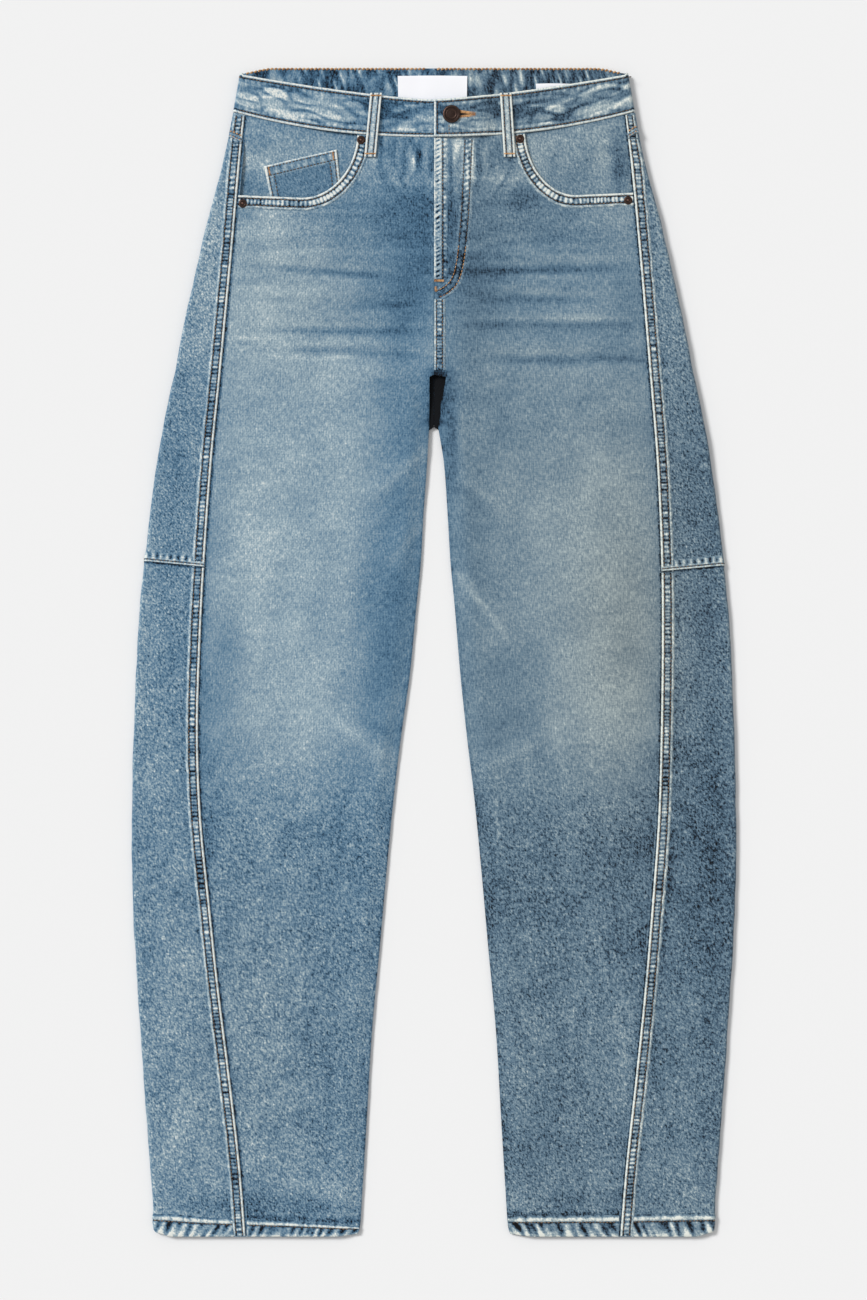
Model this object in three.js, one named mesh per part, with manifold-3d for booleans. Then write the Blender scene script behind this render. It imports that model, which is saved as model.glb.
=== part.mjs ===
import * as THREE from "three";
import { mergeVertices } from "three/addons/utils/BufferGeometryUtils.js";
import Module from "manifold-3d";

// Barrel-leg denim trousers laid flat on their back, front up, in millimetres.
// +Y runs from the hems to the waist, +X is the wearer's left and z = 0 is the surface they lie on.
// Each sewn piece is a thin wall. The back pieces wrap round the outer side of the leg and end at a
// felled seam on the front, so there is no seam along the outer edge.

const { lerp, smoothstep, degToRad } = THREE.MathUtils;

// Cloth and seams
const DENIM = 1.2; // one layer of cloth
const SEAM_GAP = 0.3; // between pieces that meet or lie on each other
const SEAM_BAND = 9.5; // width of the felled seam on the front
const BAND_MOST_OF_STRIP = 0.85; // the band narrows where the side strip beside it is narrow
const BAND_RAISE = 0.8; // extra cloth in a felled seam, a hem or the fly
const BAND_SLOPE = 1.5; // width over which a band rises
const HEM_DEPTH = 12.5;

// Heights
const SEAT_LIFT = 1.5; // the seat lies on its patch pockets and loops, one layer above the surface
const SEAT_LIFT_FROM = 120;
const SEAT_LIFT_TO = 195;
const BODY_HEIGHT = 5.6; // both layers with the slack between them, at the hips
const BODY_HEIGHT_FROM = 380;
const HEM_HEIGHT = 4.4;
const INSEAM_ROLL = 18; // the front drops to the back over this width at the inner seam

// Lines across the garment, as y
const HEM_Y = -526;
const HEM_OUTER = { from: 236, to: 253, lift: 4.2 }; // x over which the hem turns up to its outer corner
const HEM_INNER = { from: 64, to: 90, lift: 2.6 }; // and to its inner corner
const HEM_EVEN_FROM = -512;
const HEM_EVEN_TO = -470;
const KNEE_FALL = 5; // of the knee seam, from the fold to the front seam
const FRONT_CROTCH_Y = 250; // lower end of the front rise seam
const BACK_CROTCH_Y = 202; // lower end of the back rise seam
const YOKE_CENTRE_Y = 423; // point of the yoke at the centre back
const YOKE_FALL = 4.5;
const YOKE_FOLD_X = 178; // ends of its top edge on the front
const YOKE_SEAM_X = 171;

// Waistband
const BAND_WALL = 2.2;
const BAND_LAP = 40; // the right end runs this far under the left one
const BAND_STEP_FROM = 42;
const BAND_STEP_TO = 58;
const BAND_LABEL_ROOM = 1.6; // for the labels between the front and the back of the band
const BAND_LOW_CENTRE = 463.6;
const BAND_LOW_RISE = 22.8;
const BAND_LOW_SPAN = 180.5;
const BAND_LOW_POWER = 2.2;
const BAND_TOP_CENTRE = 497.3;
const BAND_TOP_RISE = 23.1;
const BAND_TOP_SPAN = 176;
const BAND_TOP_POWER = 1.35;
const BAND_BACK_LOW_CENTRE = 491;
const BAND_BACK_LOW_SIDE = 486.4;
const BAND_BACK_TOP = 526;
const BAND_BACK_TOP_SIDE = 521.2;
const BAND_BACK_TOP_FROM = 145;
const BAND_FRONT_BASE = SEAT_LIFT + BAND_WALL + BAND_LABEL_ROOM;
const BAND_FRONT_TOP = BAND_FRONT_BASE + BAND_WALL;
// x of the stations along the front of each half, and along its back
const BAND_STATIONS = {
  left: [0, 8, 26, BAND_STEP_FROM, 50, BAND_STEP_TO, 85, 115, 145, 165],
  right: [-BAND_LAP, 0, 40, 70, 100, 130, 155],
  back: [160, 130, 90, 45, SEAM_GAP / 2],
};

// The two sides: sign along x, and what differs between them in how they lie
const LEFT = { name: "left", sign: 1, kneeY: 78, yokeSideY: 467, pocketTopX: 82, pocketDepth: 56 };
const RIGHT = { name: "right", sign: -1, kneeY: 82, yokeSideY: 463, pocketTopX: 69, pocketDepth: 57 };

// Outline from waist to hem. x is measured out from the centre line: fold is the outer edge, and inner
// the edge between the legs.
const OUTLINE = [
  { y: 526, fold: 174, innerLeft: 0, innerRight: 0 },
  { y: 486, fold: 181, innerLeft: 0, innerRight: 0 },
  { y: 440, fold: 190, innerLeft: 0, innerRight: 0 },
  { y: 400, fold: 201, innerLeft: 0, innerRight: 0 },
  { y: 350, fold: 213, innerLeft: 0, innerRight: 0 },
  { y: 300, fold: 224, innerLeft: 0, innerRight: 0 },
  { y: 250, fold: 234, innerLeft: 0, innerRight: 0 },
  { y: 248, fold: 234.5, innerLeft: 10.8, innerRight: 4.1 },
  { y: 227, fold: 239, innerLeft: 8, innerRight: 4.1 },
  { y: 202, fold: 244, innerLeft: 3.9, innerRight: 4.4 },
  { y: 170, fold: 249.5, innerLeft: 9, innerRight: 6.2 },
  { y: 124, fold: 256, innerLeft: 12.3, innerRight: 9.5 },
  { y: 80, fold: 261, innerLeft: 15, innerRight: 12 },
  { y: 40, fold: 265, innerLeft: 18.8, innerRight: 16 },
  { y: -20, fold: 268.5, innerLeft: 23.8, innerRight: 21.8 },
  { y: -75, fold: 270.5, innerLeft: 29.6, innerRight: 29.6 },
  { y: -133, fold: 272, innerLeft: 36.5, innerRight: 36.5 },
  { y: -200, fold: 272, innerLeft: 43, innerRight: 43 },
  { y: -262, fold: 269.5, innerLeft: 48.5, innerRight: 48.5 },
  { y: -341, fold: 264.5, innerLeft: 55.8, innerRight: 55.8 },
  { y: -420, fold: 259, innerLeft: 60.5, innerRight: 60.5 },
  { y: -490, fold: 253.7, innerLeft: 64.8, innerRight: 64.8 },
  { y: -519, fold: 252, innerLeft: 67, innerRight: 67 },
  { y: -526, fold: 248, innerLeft: 70, innerRight: 70 },
];

// The felled seam on the front: x of its edge towards the centre
const FRONT_SEAM = [
  { y: 526, left: 167, right: 166 },
  { y: 440, left: 177, right: 174.5 },
  { y: 350, left: 185.5, right: 182.5 },
  { y: 250, left: 194, right: 192 },
  { y: 170, left: 200.5, right: 200 },
  { y: 80, left: 204.5, right: 206.5 },
  { y: 0, left: 205, right: 210.5 },
  { y: -75, left: 204, right: 212.3 },
  { y: -150, left: 201.7, right: 209.5 },
  { y: -225, left: 196.3, right: 202 },
  { y: -300, left: 190, right: 194 },
  { y: -380, left: 181.8, right: 184 },
  { y: -460, left: 173, right: 174.8 },
  { y: -526, left: 167.5, right: 169.5 },
];

// Creases of the front: the middle of each, its length, its turn from the x axis going outwards, its
// half width and its height. Troughs run across the hips and soft ridges down from the crotch.
const CREASES = [
  { side: LEFT, x: 84, y: 371, length: 86, turn: 7, width: 8, height: -0.6 },
  { side: LEFT, x: 107, y: 344, length: 120, turn: 2, width: 8, height: -0.8 },
  { side: LEFT, x: 91, y: 317, length: 99, turn: -1, width: 7, height: -0.8 },
  { side: LEFT, x: 100, y: 290, length: 144, turn: 0, width: 8, height: -0.9 },
  { side: LEFT, x: 104, y: 264, length: 126, turn: 1, width: 7, height: -0.7 },
  { side: LEFT, x: 46, y: 146, length: 70, turn: -39, width: 10, height: 0.9 },
  { side: LEFT, x: 47, y: 38, length: 90, turn: -51, width: 11, height: 1 },
  { side: LEFT, x: 62, y: -97, length: 60, turn: 27, width: 10, height: 0.7 },
  { side: RIGHT, x: 34, y: 371, length: 50, turn: 2, width: 8, height: -0.6 },
  { side: RIGHT, x: 87, y: 341, length: 150, turn: 5, width: 8, height: -0.9 },
  { side: RIGHT, x: 45, y: 315, length: 60, turn: 0, width: 8, height: -0.7 },
  { side: RIGHT, x: 82, y: 289, length: 140, turn: 1, width: 8, height: -0.8 },
  { side: RIGHT, x: 71, y: 268, length: 126, turn: 2, width: 7, height: -0.7 },
  { side: RIGHT, x: 31, y: 162, length: 70, turn: -42, width: 10, height: 0.9 },
  { side: RIGHT, x: 30, y: 99, length: 55, turn: -50, width: 9, height: 0.8 },
  { side: RIGHT, x: 60, y: -81, length: 70, turn: 33, width: 10, height: 0.8 },
];

// Front pocket mouth: a quarter of an ellipse down from the waistband, then a nearly level run
const POCKET_TURN_SHARE = 0.45; // of the width from the top of the mouth to the side seam
const POCKET_RUN_RISE = 0.04; // of the depth, along the level run
const POCKET_TURN_STEPS = 6;
const POCKET_RUN_SHARES = [0.72, 1]; // further columns, along the level run
const FRONT_MIDDLE_SHARE = 0.72; // one more column, on the way from the centre to the pocket's corner
const FACING_HIDDEN = 20; // how far the facing runs on behind the front
const FACING_SINKS = { from: 0.3, to: 0.85 }; // shares of the way from the corner to the pocket mouth
const FACING_ROUNDNESS = 4; // how square the sunk area's inner corner is
const FACING_STEPS = { up: 8, across: 10 };

// The coin pocket leans with the facing's grain, and its lower end lies behind the front
const COIN_WALL = 1;
const COIN_CLEARANCE = 0.35;
const COIN_HIDDEN = 13;
const COIN_STEPS = [0, 0.25, 0.5, 0.75, 1];
const COIN = {
  top: { inner: { x: 87.6, y: 452.7 }, outer: { x: 153, y: 437.6 } },
  low: { inner: { x: 83.2, y: 425.3 }, outer: { x: 144.5, y: 408.7 } },
};

// The grid of the front panels: y of the rows below the pocket
const FRONT_ROWS = [
  HEM_Y, HEM_Y + HEM_DEPTH, HEM_Y + HEM_DEPTH + BAND_SLOPE,
  -480, -430, -380, -330, -280, -230, -180, -140, -115, -95, -75, -50, -20, 0, 20, 40, 60, 80, 100,
  124, 146, 170, 186, 202, 227, 248, 250.2, 257, 266, 278, 290, 303, 316, 330, 343, 357,
];
const LOWER_BACK_TOP_ROW = 60;
const LOWER_BACK_ROWS = FRONT_ROWS.filter((y) => y <= LOWER_BACK_TOP_ROW);
// Rows of the back above the knee, as shares of the way up to the yoke seam. Two more stand close
// together at the crotch, where the panel steps in to the centre line.
const UPPER_BACK_SHARES = [
  0, 0.06, 0.13, 0.19, 0.25, 0.31, 0.4, 0.45, 0.5, 0.55, 0.6, 0.65, 0.7, 0.75, 0.8, 0.85, 0.93, 1,
];
const CROTCH_STEP = { below: 0.01, above: 0.001 };
const YOKE_SHARES = [0, 0.5, 1];
const FRONT_TOP_STEPS = 4; // rows from there up to the waistband and the pocket mouth
const FLY_WIDTH = 30;
const FLY_SLOPE = 7;
const FLY_LOW_Y = 318;
const FLY_FULL_Y = 345;

// Belt loops: the front ones pass over the waistband in a low arch and end on the front
const LOOP_WIDTH = 10.4;
const LOOP_WALL = 1.5;
const LOOP_ARCH = 0.9;
const LOOP_TOP_Y = 503;
const LOOP_LOW_Y = 445.5;
const LOOP_BENDS = { top: 6, archFrom: 18, archTo: 32, footFrom: 12, foot: 5 }; // from the nearer end
const FRONT_LOOPS = [
  { side: LEFT, topX: 64.4, lowX: 68 },
  { side: RIGHT, topX: 52, lowX: 57.5 },
];
const BACK_LOOP_LENGTH = 52;
const BACK_LOOP_SET_DOWN = 1; // below the waistband's top edge
const BACK_LOOPS = [
  { name: "left", x: 112 },
  { name: "centre", x: -2.5 },
  { name: "right", x: -112 },
];

// Back pockets and labels
const BACK_POCKET = {
  x: 92, top: 405, topWidth: 146, lowWidth: 128, sideDepth: 136, point: 18, tilt: -3,
};
const LABEL_WALL = 1;
const LABELS = [
  { name: "waist_label", fromX: -32.4, toX: 29.7, fromY: 494, toY: 519 },
  { name: "care_label", fromX: 92, toX: 122, fromY: 490, toY: 512 },
];

// Metal fittings. A profile gives radius and height, from the axis at the foot to the axis at the top.
const BUTTON_X = 15.8;
const BUTTON_Y = 483.7;
const BUTTON_NECK_RADIUS = 2.4;
const BUTTON_CAP = [[7, 0], [8, 0.8], [7.4, 1.8], [5.76, 1.95], [3.2, 2.6], [0, 2.6]];
const BUTTONHOLE_EYE_RADIUS = 3.3;
const BUTTONHOLE_OPENING = 30; // degrees from its middle to where the slit starts
const BUTTONHOLE_END_X = 36;
const BUTTONHOLE_END_HALF = 0.4;
const RIVET_PROFILE = [[0, 0], [3.9, 0], [3.9, 0.5], [3.12, 1], [1.76, 1.1], [1.37, 1.5], [0, 1.6]];
const RIVETS = [
  { side: LEFT, place: "waist", x: 77.4, y: 461.8 },
  { side: LEFT, place: "side", x: 174.6, y: 406.5 },
  { side: RIGHT, place: "waist", x: 65.6, y: 460.8 },
  { side: RIGHT, place: "side", x: 171.9, y: 403.7 },
];
const ROUND_SIDES = 24;

const COLOURS = {
  denimFront: 0x8fa7b3,
  denimSide: 0x5d7f9c,
  denimDark: 0x3f5f82,
  copper: 0x5f3f35,
  label: 0xf2f2f4,
};

const materials = Object.fromEntries(
  Object.entries(COLOURS).map(([name, color]) => [
    name,
    new THREE.MeshStandardMaterial({
      color,
      roughness: name === "copper" ? 0.35 : 0.9,
      metalness: name === "copper" ? 0.9 : 0,
    }),
  ]),
);

// Reads a table's column at any y, in straight lines from row to row
function readStraight(table, key, y) {
  const index = table.findIndex((row) => row.y <= y);
  if (index === 0) return table[0][key];
  if (index === -1) return table[table.length - 1][key];
  const above = table[index - 1];
  const below = table[index];
  return lerp(below[key], above[key], (y - below.y) / (above.y - below.y));
}

// The same along a smooth curve through the rows
function readSmooth(table, key, y) {
  const found = table.findIndex((row) => row.y <= y);
  const index = found === -1 ? table.length - 1 : Math.max(found, 1);
  const slope = (k) => {
    const above = table[Math.max(k - 1, 0)];
    const below = table[Math.min(k + 1, table.length - 1)];
    return (above[key] - below[key]) / (above.y - below.y);
  };
  const above = table[index - 1];
  const below = table[index];
  const span = above.y - below.y;
  const t = THREE.MathUtils.clamp((y - below.y) / span, 0, 1);
  const bend = slope(index) * span * t * (1 - t) ** 2 - slope(index - 1) * span * t * t * (1 - t);
  return below[key] + (above[key] - below[key]) * t * t * (3 - 2 * t) + bend;
}

const capital = (word) => word[0].toUpperCase() + word.slice(1);
const foldX = (y) => readStraight(OUTLINE, "fold", y);
const seamX = (side, y) => readSmooth(FRONT_SEAM, side.name, y);
function innerX(side, y) {
  return Math.max(readStraight(OUTLINE, `inner${capital(side.name)}`, y), SEAM_GAP / 2);
}

// The back panels meet at the centre down to their own, lower crotch
const backInnerX = (side, y) => (y > BACK_CROTCH_Y ? SEAM_GAP / 2 : innerX(side, y));

const seatLift = (y) => SEAT_LIFT * smoothstep(y, SEAT_LIFT_FROM, SEAT_LIFT_TO);
const bodyHeight = (y) => lerp(HEM_HEIGHT, BODY_HEIGHT, smoothstep(y, HEM_Y, BODY_HEIGHT_FROM));

function creaseHeight(side, x, y) {
  let sum = 0;
  for (const crease of CREASES.filter((row) => row.side === side)) {
    const turn = degToRad(crease.turn);
    const along = (x - crease.x) * Math.cos(turn) + (y - crease.y) * Math.sin(turn);
    const across = (y - crease.y) * Math.cos(turn) - (x - crease.x) * Math.sin(turn);
    const reach = (2 * along) / crease.length;
    sum += crease.height * Math.exp(-((across / crease.width) ** 2)) * Math.exp(-(reach ** 4));
  }
  return sum;
}

// Height of the upper layer's outer face. It drops to the lower layer at the inner leg seam.
function topLevel(side, x, y) {
  const base = seatLift(y);
  const closed = base + 2 * DENIM + SEAM_GAP;
  const open = base + bodyHeight(y) + creaseHeight(side, x, y);
  const awayFromSeam = smoothstep(x - innerX(side, y), 0, INSEAM_ROLL);
  const aboveCrotch = smoothstep(y, BACK_CROTCH_Y, FRONT_CROTCH_Y);
  return lerp(closed, open, Math.max(awayFromSeam, aboveCrotch));
}

function hemLift(x) {
  const outer = HEM_OUTER.lift * smoothstep(x, HEM_OUTER.from, HEM_OUTER.to);
  const inner = HEM_INNER.lift * (1 - smoothstep(x, HEM_INNER.from, HEM_INNER.to));
  return outer + inner;
}

// Rows near the hem follow its curve, and those further up are level
const hemmedY = (x, y) => y + hemLift(x) * (1 - smoothstep(y, HEM_EVEN_FROM, HEM_EVEN_TO));
function hemRaise(y) {
  const top = HEM_Y + HEM_DEPTH;
  return BAND_RAISE * (1 - smoothstep(y, top, top + BAND_SLOPE));
}

function bandLow(x) {
  return BAND_LOW_CENTRE + BAND_LOW_RISE * (Math.abs(x) / BAND_LOW_SPAN) ** BAND_LOW_POWER;
}
const bandTop = (x) => BAND_TOP_CENTRE + BAND_TOP_RISE * (Math.abs(x) / BAND_TOP_SPAN) ** BAND_TOP_POWER;
const bandBackLow = (x) => lerp(BAND_BACK_LOW_CENTRE, BAND_BACK_LOW_SIDE, x / BAND_TOP_SPAN);
const bandBackTop = (x) =>
  lerp(BAND_BACK_TOP, BAND_BACK_TOP_SIDE, smoothstep(x, BAND_BACK_TOP_FROM, BAND_TOP_SPAN));

// A closed wall between two grids of points of the same size, with its faces turned out
function wall(outer, inner) {
  const rows = outer.length;
  const columns = outer[0].length;
  const positions = [...outer.flat(), ...inner.flat()].flatMap((point) => point.toArray());
  const at = (layer, row, column) => layer * rows * columns + row * columns + column;
  const triangles = [];
  const quad = (a, b, c, d) => triangles.push([a, b, c], [a, c, d]);
  for (let r = 0; r < rows - 1; r += 1) {
    for (let c = 0; c < columns - 1; c += 1) {
      quad(at(0, r, c), at(0, r, c + 1), at(0, r + 1, c + 1), at(0, r + 1, c));
      quad(at(1, r, c), at(1, r + 1, c), at(1, r + 1, c + 1), at(1, r, c + 1));
    }
  }
  const edge = [];
  for (let c = 0; c < columns - 1; c += 1) edge.push([0, c]);
  for (let r = 0; r < rows - 1; r += 1) edge.push([r, columns - 1]);
  for (let c = columns - 1; c > 0; c -= 1) edge.push([rows - 1, c]);
  for (let r = rows - 1; r > 0; r -= 1) edge.push([r, 0]);
  edge.forEach(([r, c], index) => {
    const [nextRow, nextColumn] = edge[(index + 1) % edge.length];
    quad(at(0, r, c), at(1, r, c), at(1, nextRow, nextColumn), at(0, nextRow, nextColumn));
  });
  return facingOut(positions, triangles);
}

function facingOut(positions, triangles) {
  const corner = (index) => new THREE.Vector3().fromArray(positions, index * 3);
  const volumeAt = ([a, b, c]) => corner(a).dot(corner(b).cross(corner(c)));
  const volume = triangles.reduce((sum, triangle) => sum + volumeAt(triangle), 0);
  const turned = volume < 0 ? triangles.map(([a, b, c]) => [a, c, b]) : triangles;
  const geometry = new THREE.BufferGeometry();
  geometry.setAttribute("position", new THREE.Float32BufferAttribute(positions, 3));
  geometry.setIndex(turned.flat());
  geometry.computeVertexNormals();
  return geometry;
}

// Builds a wall from a function that gives each grid point's outer and inner place
function wallFrom(rows, columns, place) {
  const grid = rows.map((row) => columns.map((column) => place(row, column)));
  return wall(
    grid.map((row) => row.map((point) => point.outer)),
    grid.map((row) => row.map((point) => point.inner)),
  );
}

function piece(name, geometry, material) {
  const mesh = new THREE.Mesh(geometry, material);
  mesh.name = name;
  return mesh;
}

const vector = (side, x, y, z) => new THREE.Vector3(side.sign * x, y, z);

// Front leg panels
function pocketColumns() {
  const columns = [];
  for (let step = 0; step <= POCKET_TURN_STEPS; step += 1) {
    const angle = (Math.PI / 2) * (step / POCKET_TURN_STEPS);
    columns.push(POCKET_TURN_SHARE * (1 - Math.cos(angle)));
  }
  return [...columns, ...POCKET_RUN_SHARES];
}

// y of the pocket mouth at a share of the way from its top corner to the side seam
function pocketMouthY(side, share) {
  const start = bandLow(side.pocketTopX) - SEAM_GAP;
  if (share <= POCKET_TURN_SHARE) {
    const level = 1 - share / POCKET_TURN_SHARE;
    return start - side.pocketDepth * Math.sqrt(1 - level * level);
  }
  const run = (share - POCKET_TURN_SHARE) / (1 - POCKET_TURN_SHARE);
  return start - side.pocketDepth * (1 - POCKET_RUN_RISE * run);
}

function frontRaise(side, x, y) {
  if (side !== LEFT || y < FRONT_CROTCH_Y) return hemRaise(y);
  const flyShare = smoothstep(y, FLY_LOW_Y, FLY_FULL_Y);
  const fly = flyShare * (1 - smoothstep(x, FLY_WIDTH, FLY_WIDTH + FLY_SLOPE));
  const riseSeam = 1 - smoothstep(x, SEAM_BAND, SEAM_BAND + BAND_SLOPE);
  return BAND_RAISE * Math.max(fly, riseSeam);
}

function frontPanel(side) {
  const topSeamX = seamX(side, bandLow(side.pocketTopX));
  const corner = side.pocketTopX / topSeamX;
  const nearCentre = [0, SEAM_BAND, SEAM_BAND + BAND_SLOPE, FLY_WIDTH, FLY_WIDTH + FLY_SLOPE];
  const columns = [
    ...nearCentre.map((x) => ({ across: x / topSeamX, mouth: 0 })),
    { across: corner * FRONT_MIDDLE_SHARE, mouth: 0 },
    ...pocketColumns().map((share) => ({ across: lerp(corner, 1, share), mouth: share })),
  ];
  const lastRow = FRONT_ROWS[FRONT_ROWS.length - 1];
  const rows = [
    ...FRONT_ROWS.map((y) => ({ y, up: 0 })),
    ...Array.from({ length: FRONT_TOP_STEPS }, (_, k) => ({ y: lastRow, up: (k + 1) / FRONT_TOP_STEPS })),
  ];
  const geometry = wallFrom(rows, columns, (row, column) => {
    const levelX = lerp(innerX(side, row.y), seamX(side, row.y) - SEAM_GAP, column.across);
    const topX = column.across * topSeamX;
    const top = column.mouth > 0 ? pocketMouthY(side, column.mouth) : bandLow(topX) - SEAM_GAP;
    const y = lerp(hemmedY(levelX, row.y), top, row.up);
    const x = lerp(innerX(side, y), seamX(side, y) - SEAM_GAP, column.across);
    const z = topLevel(side, x, y);
    return {
      outer: vector(side, x, y, z + frontRaise(side, x, row.up > 0 ? y : row.y)),
      inner: vector(side, x, y, z - DENIM),
    };
  });
  return piece(`front_${side.name}`, geometry, materials.denimFront);
}

// Stations round the back and side pieces: along the underside, round the fold, and over to the front
const under = (share) => ({ zone: "under", share });
const fold = (share) => ({ zone: "fold", share });
const over = (share) => ({ zone: "over", share });
const WRAP = [
  ...[0, 0.05, 0.3, 0.6, 0.85, 1].map(under),
  ...[0.25, 0.5, 0.75].map(fold),
  over(0),
  over(0.5),
  { zone: "band", share: 1, raise: 0 },
  { zone: "band", share: SEAM_BAND / (SEAM_BAND + BAND_SLOPE), raise: 1 },
  { zone: "band", share: 0, raise: 1 },
];

// A row of the wrap at y: where the fold starts, and where the felled seam's band starts and ends
function wrapRow(side, y) {
  const base = seatLift(y);
  const radius = (topLevel(side, foldX(y), y) - base) / 2;
  const turnX = foldX(y) - radius;
  const edgeX = seamX(side, y);
  const bandX = edgeX + Math.min(SEAM_BAND + BAND_SLOPE, BAND_MOST_OF_STRIP * (turnX - edgeX));
  return { base, radius, turnX, edgeX, bandX };
}

// x of a station. Round the fold it is where the fold starts.
function stationX(side, station, y) {
  const { turnX, edgeX, bandX } = wrapRow(side, y);
  if (station.zone === "under") return lerp(backInnerX(side, y), turnX, station.share);
  if (station.zone === "over") return lerp(turnX, bandX, station.share);
  return station.zone === "band" ? lerp(edgeX, bandX, station.share) : turnX;
}

function wrapPlace(side, station, y, hem = 0) {
  const { base, radius, turnX } = wrapRow(side, y);
  const x = stationX(side, station, y);
  if (station.zone === "under") {
    return { outer: vector(side, x, y, base), inner: vector(side, x, y, base + DENIM) };
  }
  if (station.zone === "fold") {
    const angle = Math.PI * (station.share - 0.5);
    const ahead = Math.cos(angle);
    const up = Math.sin(angle);
    const at = (r) => vector(side, turnX + r * ahead, y, base + radius + r * up);
    return { outer: at(radius), inner: at(radius - DENIM) };
  }
  const z = topLevel(side, x, y);
  const seamRaise = station.zone === "band" ? BAND_RAISE * station.raise : 0;
  return {
    outer: vector(side, x, y, z + Math.max(seamRaise, hem)),
    inner: vector(side, x, y, z - DENIM),
  };
}

// How far a station has come over the front, from 0 at the fold to 1 at the seam
function overShare(station) {
  if (station.zone === "over") return station.share / 2;
  return station.zone === "band" ? 1 - station.share / 2 : 0;
}

const kneeLine = (side, station) => side.kneeY - KNEE_FALL * overShare(station);

function yokeLine(side, station) {
  if (station.zone === "under") return lerp(YOKE_CENTRE_Y, side.yokeSideY, station.share);
  return side.yokeSideY - YOKE_FALL * overShare(station);
}

function yokeTop(station) {
  if (station.zone === "under") return bandBackLow(station.share * BAND_TOP_SPAN) - SEAM_GAP;
  return bandLow(lerp(YOKE_FOLD_X, YOKE_SEAM_X, overShare(station))) - SEAM_GAP;
}

function backLower(side) {
  const rows = [
    ...LOWER_BACK_ROWS.map((y) => ({ yAt: (station) => hemmedY(stationX(side, station, HEM_Y), y), y })),
    { yAt: (station) => kneeLine(side, station) - SEAM_GAP, y: side.kneeY },
  ];
  const geometry = wallFrom(rows, WRAP, (row, station) =>
    wrapPlace(side, station, row.yAt(station), hemRaise(row.y)),
  );
  return piece(`back_lower_${side.name}`, geometry, materials.denimSide);
}

function backUpper(side) {
  const crotch = (BACK_CROTCH_Y - side.kneeY) / (YOKE_CENTRE_Y - side.kneeY);
  const rows = [...UPPER_BACK_SHARES, crotch - CROTCH_STEP.below, crotch + CROTCH_STEP.above];
  rows.sort((a, b) => a - b);
  const geometry = wallFrom(rows, WRAP, (share, station) =>
    wrapPlace(side, station, lerp(kneeLine(side, station), yokeLine(side, station) - SEAM_GAP, share)),
  );
  return piece(`back_upper_${side.name}`, geometry, materials.denimSide);
}

function backYoke(side) {
  const geometry = wallFrom(YOKE_SHARES, WRAP, (share, station) =>
    wrapPlace(side, station, lerp(yokeLine(side, station), yokeTop(station), share)),
  );
  return piece(`back_yoke_${side.name}`, geometry, materials.denimSide);
}

// How far the lapped end of the left half stands above the right one
function bandLapRaise(side, x) {
  if (side !== LEFT) return 0;
  return (BAND_WALL + SEAM_GAP) * (1 - smoothstep(x, BAND_STEP_FROM, BAND_STEP_TO));
}

// Each half of the waistband runs from its front end round the side to the centre back
function waistbandHalf(side) {
  const stations = [
    ...BAND_STATIONS[side.name].map((x) => ({ zone: "front", x })),
    ...[1, 0.75, 0.5, 0.25, 0].map(fold),
    ...BAND_STATIONS.back.map((x) => ({ zone: "back", x })),
  ];
  const radius = (BAND_FRONT_TOP - SEAT_LIFT) / 2;
  return wallFrom([0, 0.5, 1], stations, (share, station) => {
    if (station.zone === "front") {
      const y = lerp(bandLow(station.x), bandTop(station.x), share);
      const base = BAND_FRONT_BASE + bandLapRaise(side, station.x);
      return {
        outer: vector(side, station.x, y, base + BAND_WALL),
        inner: vector(side, station.x, y, base),
      };
    }
    if (station.zone === "back") {
      const y = lerp(bandBackLow(station.x), bandBackTop(station.x), share);
      return {
        outer: vector(side, station.x, y, SEAT_LIFT),
        inner: vector(side, station.x, y, SEAT_LIFT + BAND_WALL),
      };
    }
    const y = lerp(bandBackLow(BAND_TOP_SPAN), bandBackTop(BAND_TOP_SPAN), share);
    const turnX = foldX(y) - radius;
    const angle = Math.PI * (station.share - 0.5);
    const ahead = Math.cos(angle);
    const up = Math.sin(angle);
    const at = (r) => vector(side, turnX + r * ahead, y, SEAT_LIFT + radius + r * up);
    return { outer: at(radius), inner: at(radius - BAND_WALL) };
  });
}

// The buttonhole: a round eye for the button's neck with a slit that tapers away from it
function buttonholeTool() {
  const shape = new THREE.Shape();
  const opening = degToRad(BUTTONHOLE_OPENING);
  shape.absarc(BUTTON_X, BUTTON_Y, BUTTONHOLE_EYE_RADIUS, opening, -opening, false);
  shape.lineTo(BUTTONHOLE_END_X, BUTTON_Y - BUTTONHOLE_END_HALF);
  shape.lineTo(BUTTONHOLE_END_X, BUTTON_Y + BUTTONHOLE_END_HALF);
  const depth = 3 * BAND_WALL;
  const options = { depth, bevelEnabled: false, curveSegments: ROUND_SIDES };
  const tool = new THREE.ExtrudeGeometry(shape, options);
  tool.translate(0, 0, BAND_FRONT_TOP - BAND_WALL);
  tool.deleteAttribute("normal");
  tool.deleteAttribute("uv");
  return mergeVertices(tool);
}

function waistbandLeft(wasm) {
  const solid = (geometry) =>
    new wasm.Manifold(
      new wasm.Mesh({
        numProp: 3,
        vertProperties: new Float32Array(geometry.getAttribute("position").array),
        triVerts: new Uint32Array(geometry.getIndex().array),
      }),
    );
  const cut = solid(waistbandHalf(LEFT)).subtract(solid(buttonholeTool())).getMesh();
  const geometry = new THREE.BufferGeometry();
  geometry.setAttribute("position", new THREE.BufferAttribute(cut.vertProperties, 3));
  geometry.setIndex(new THREE.BufferAttribute(cut.triVerts, 1));
  geometry.computeVertexNormals();
  return piece("waistband_left", geometry, materials.denimFront);
}

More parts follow.
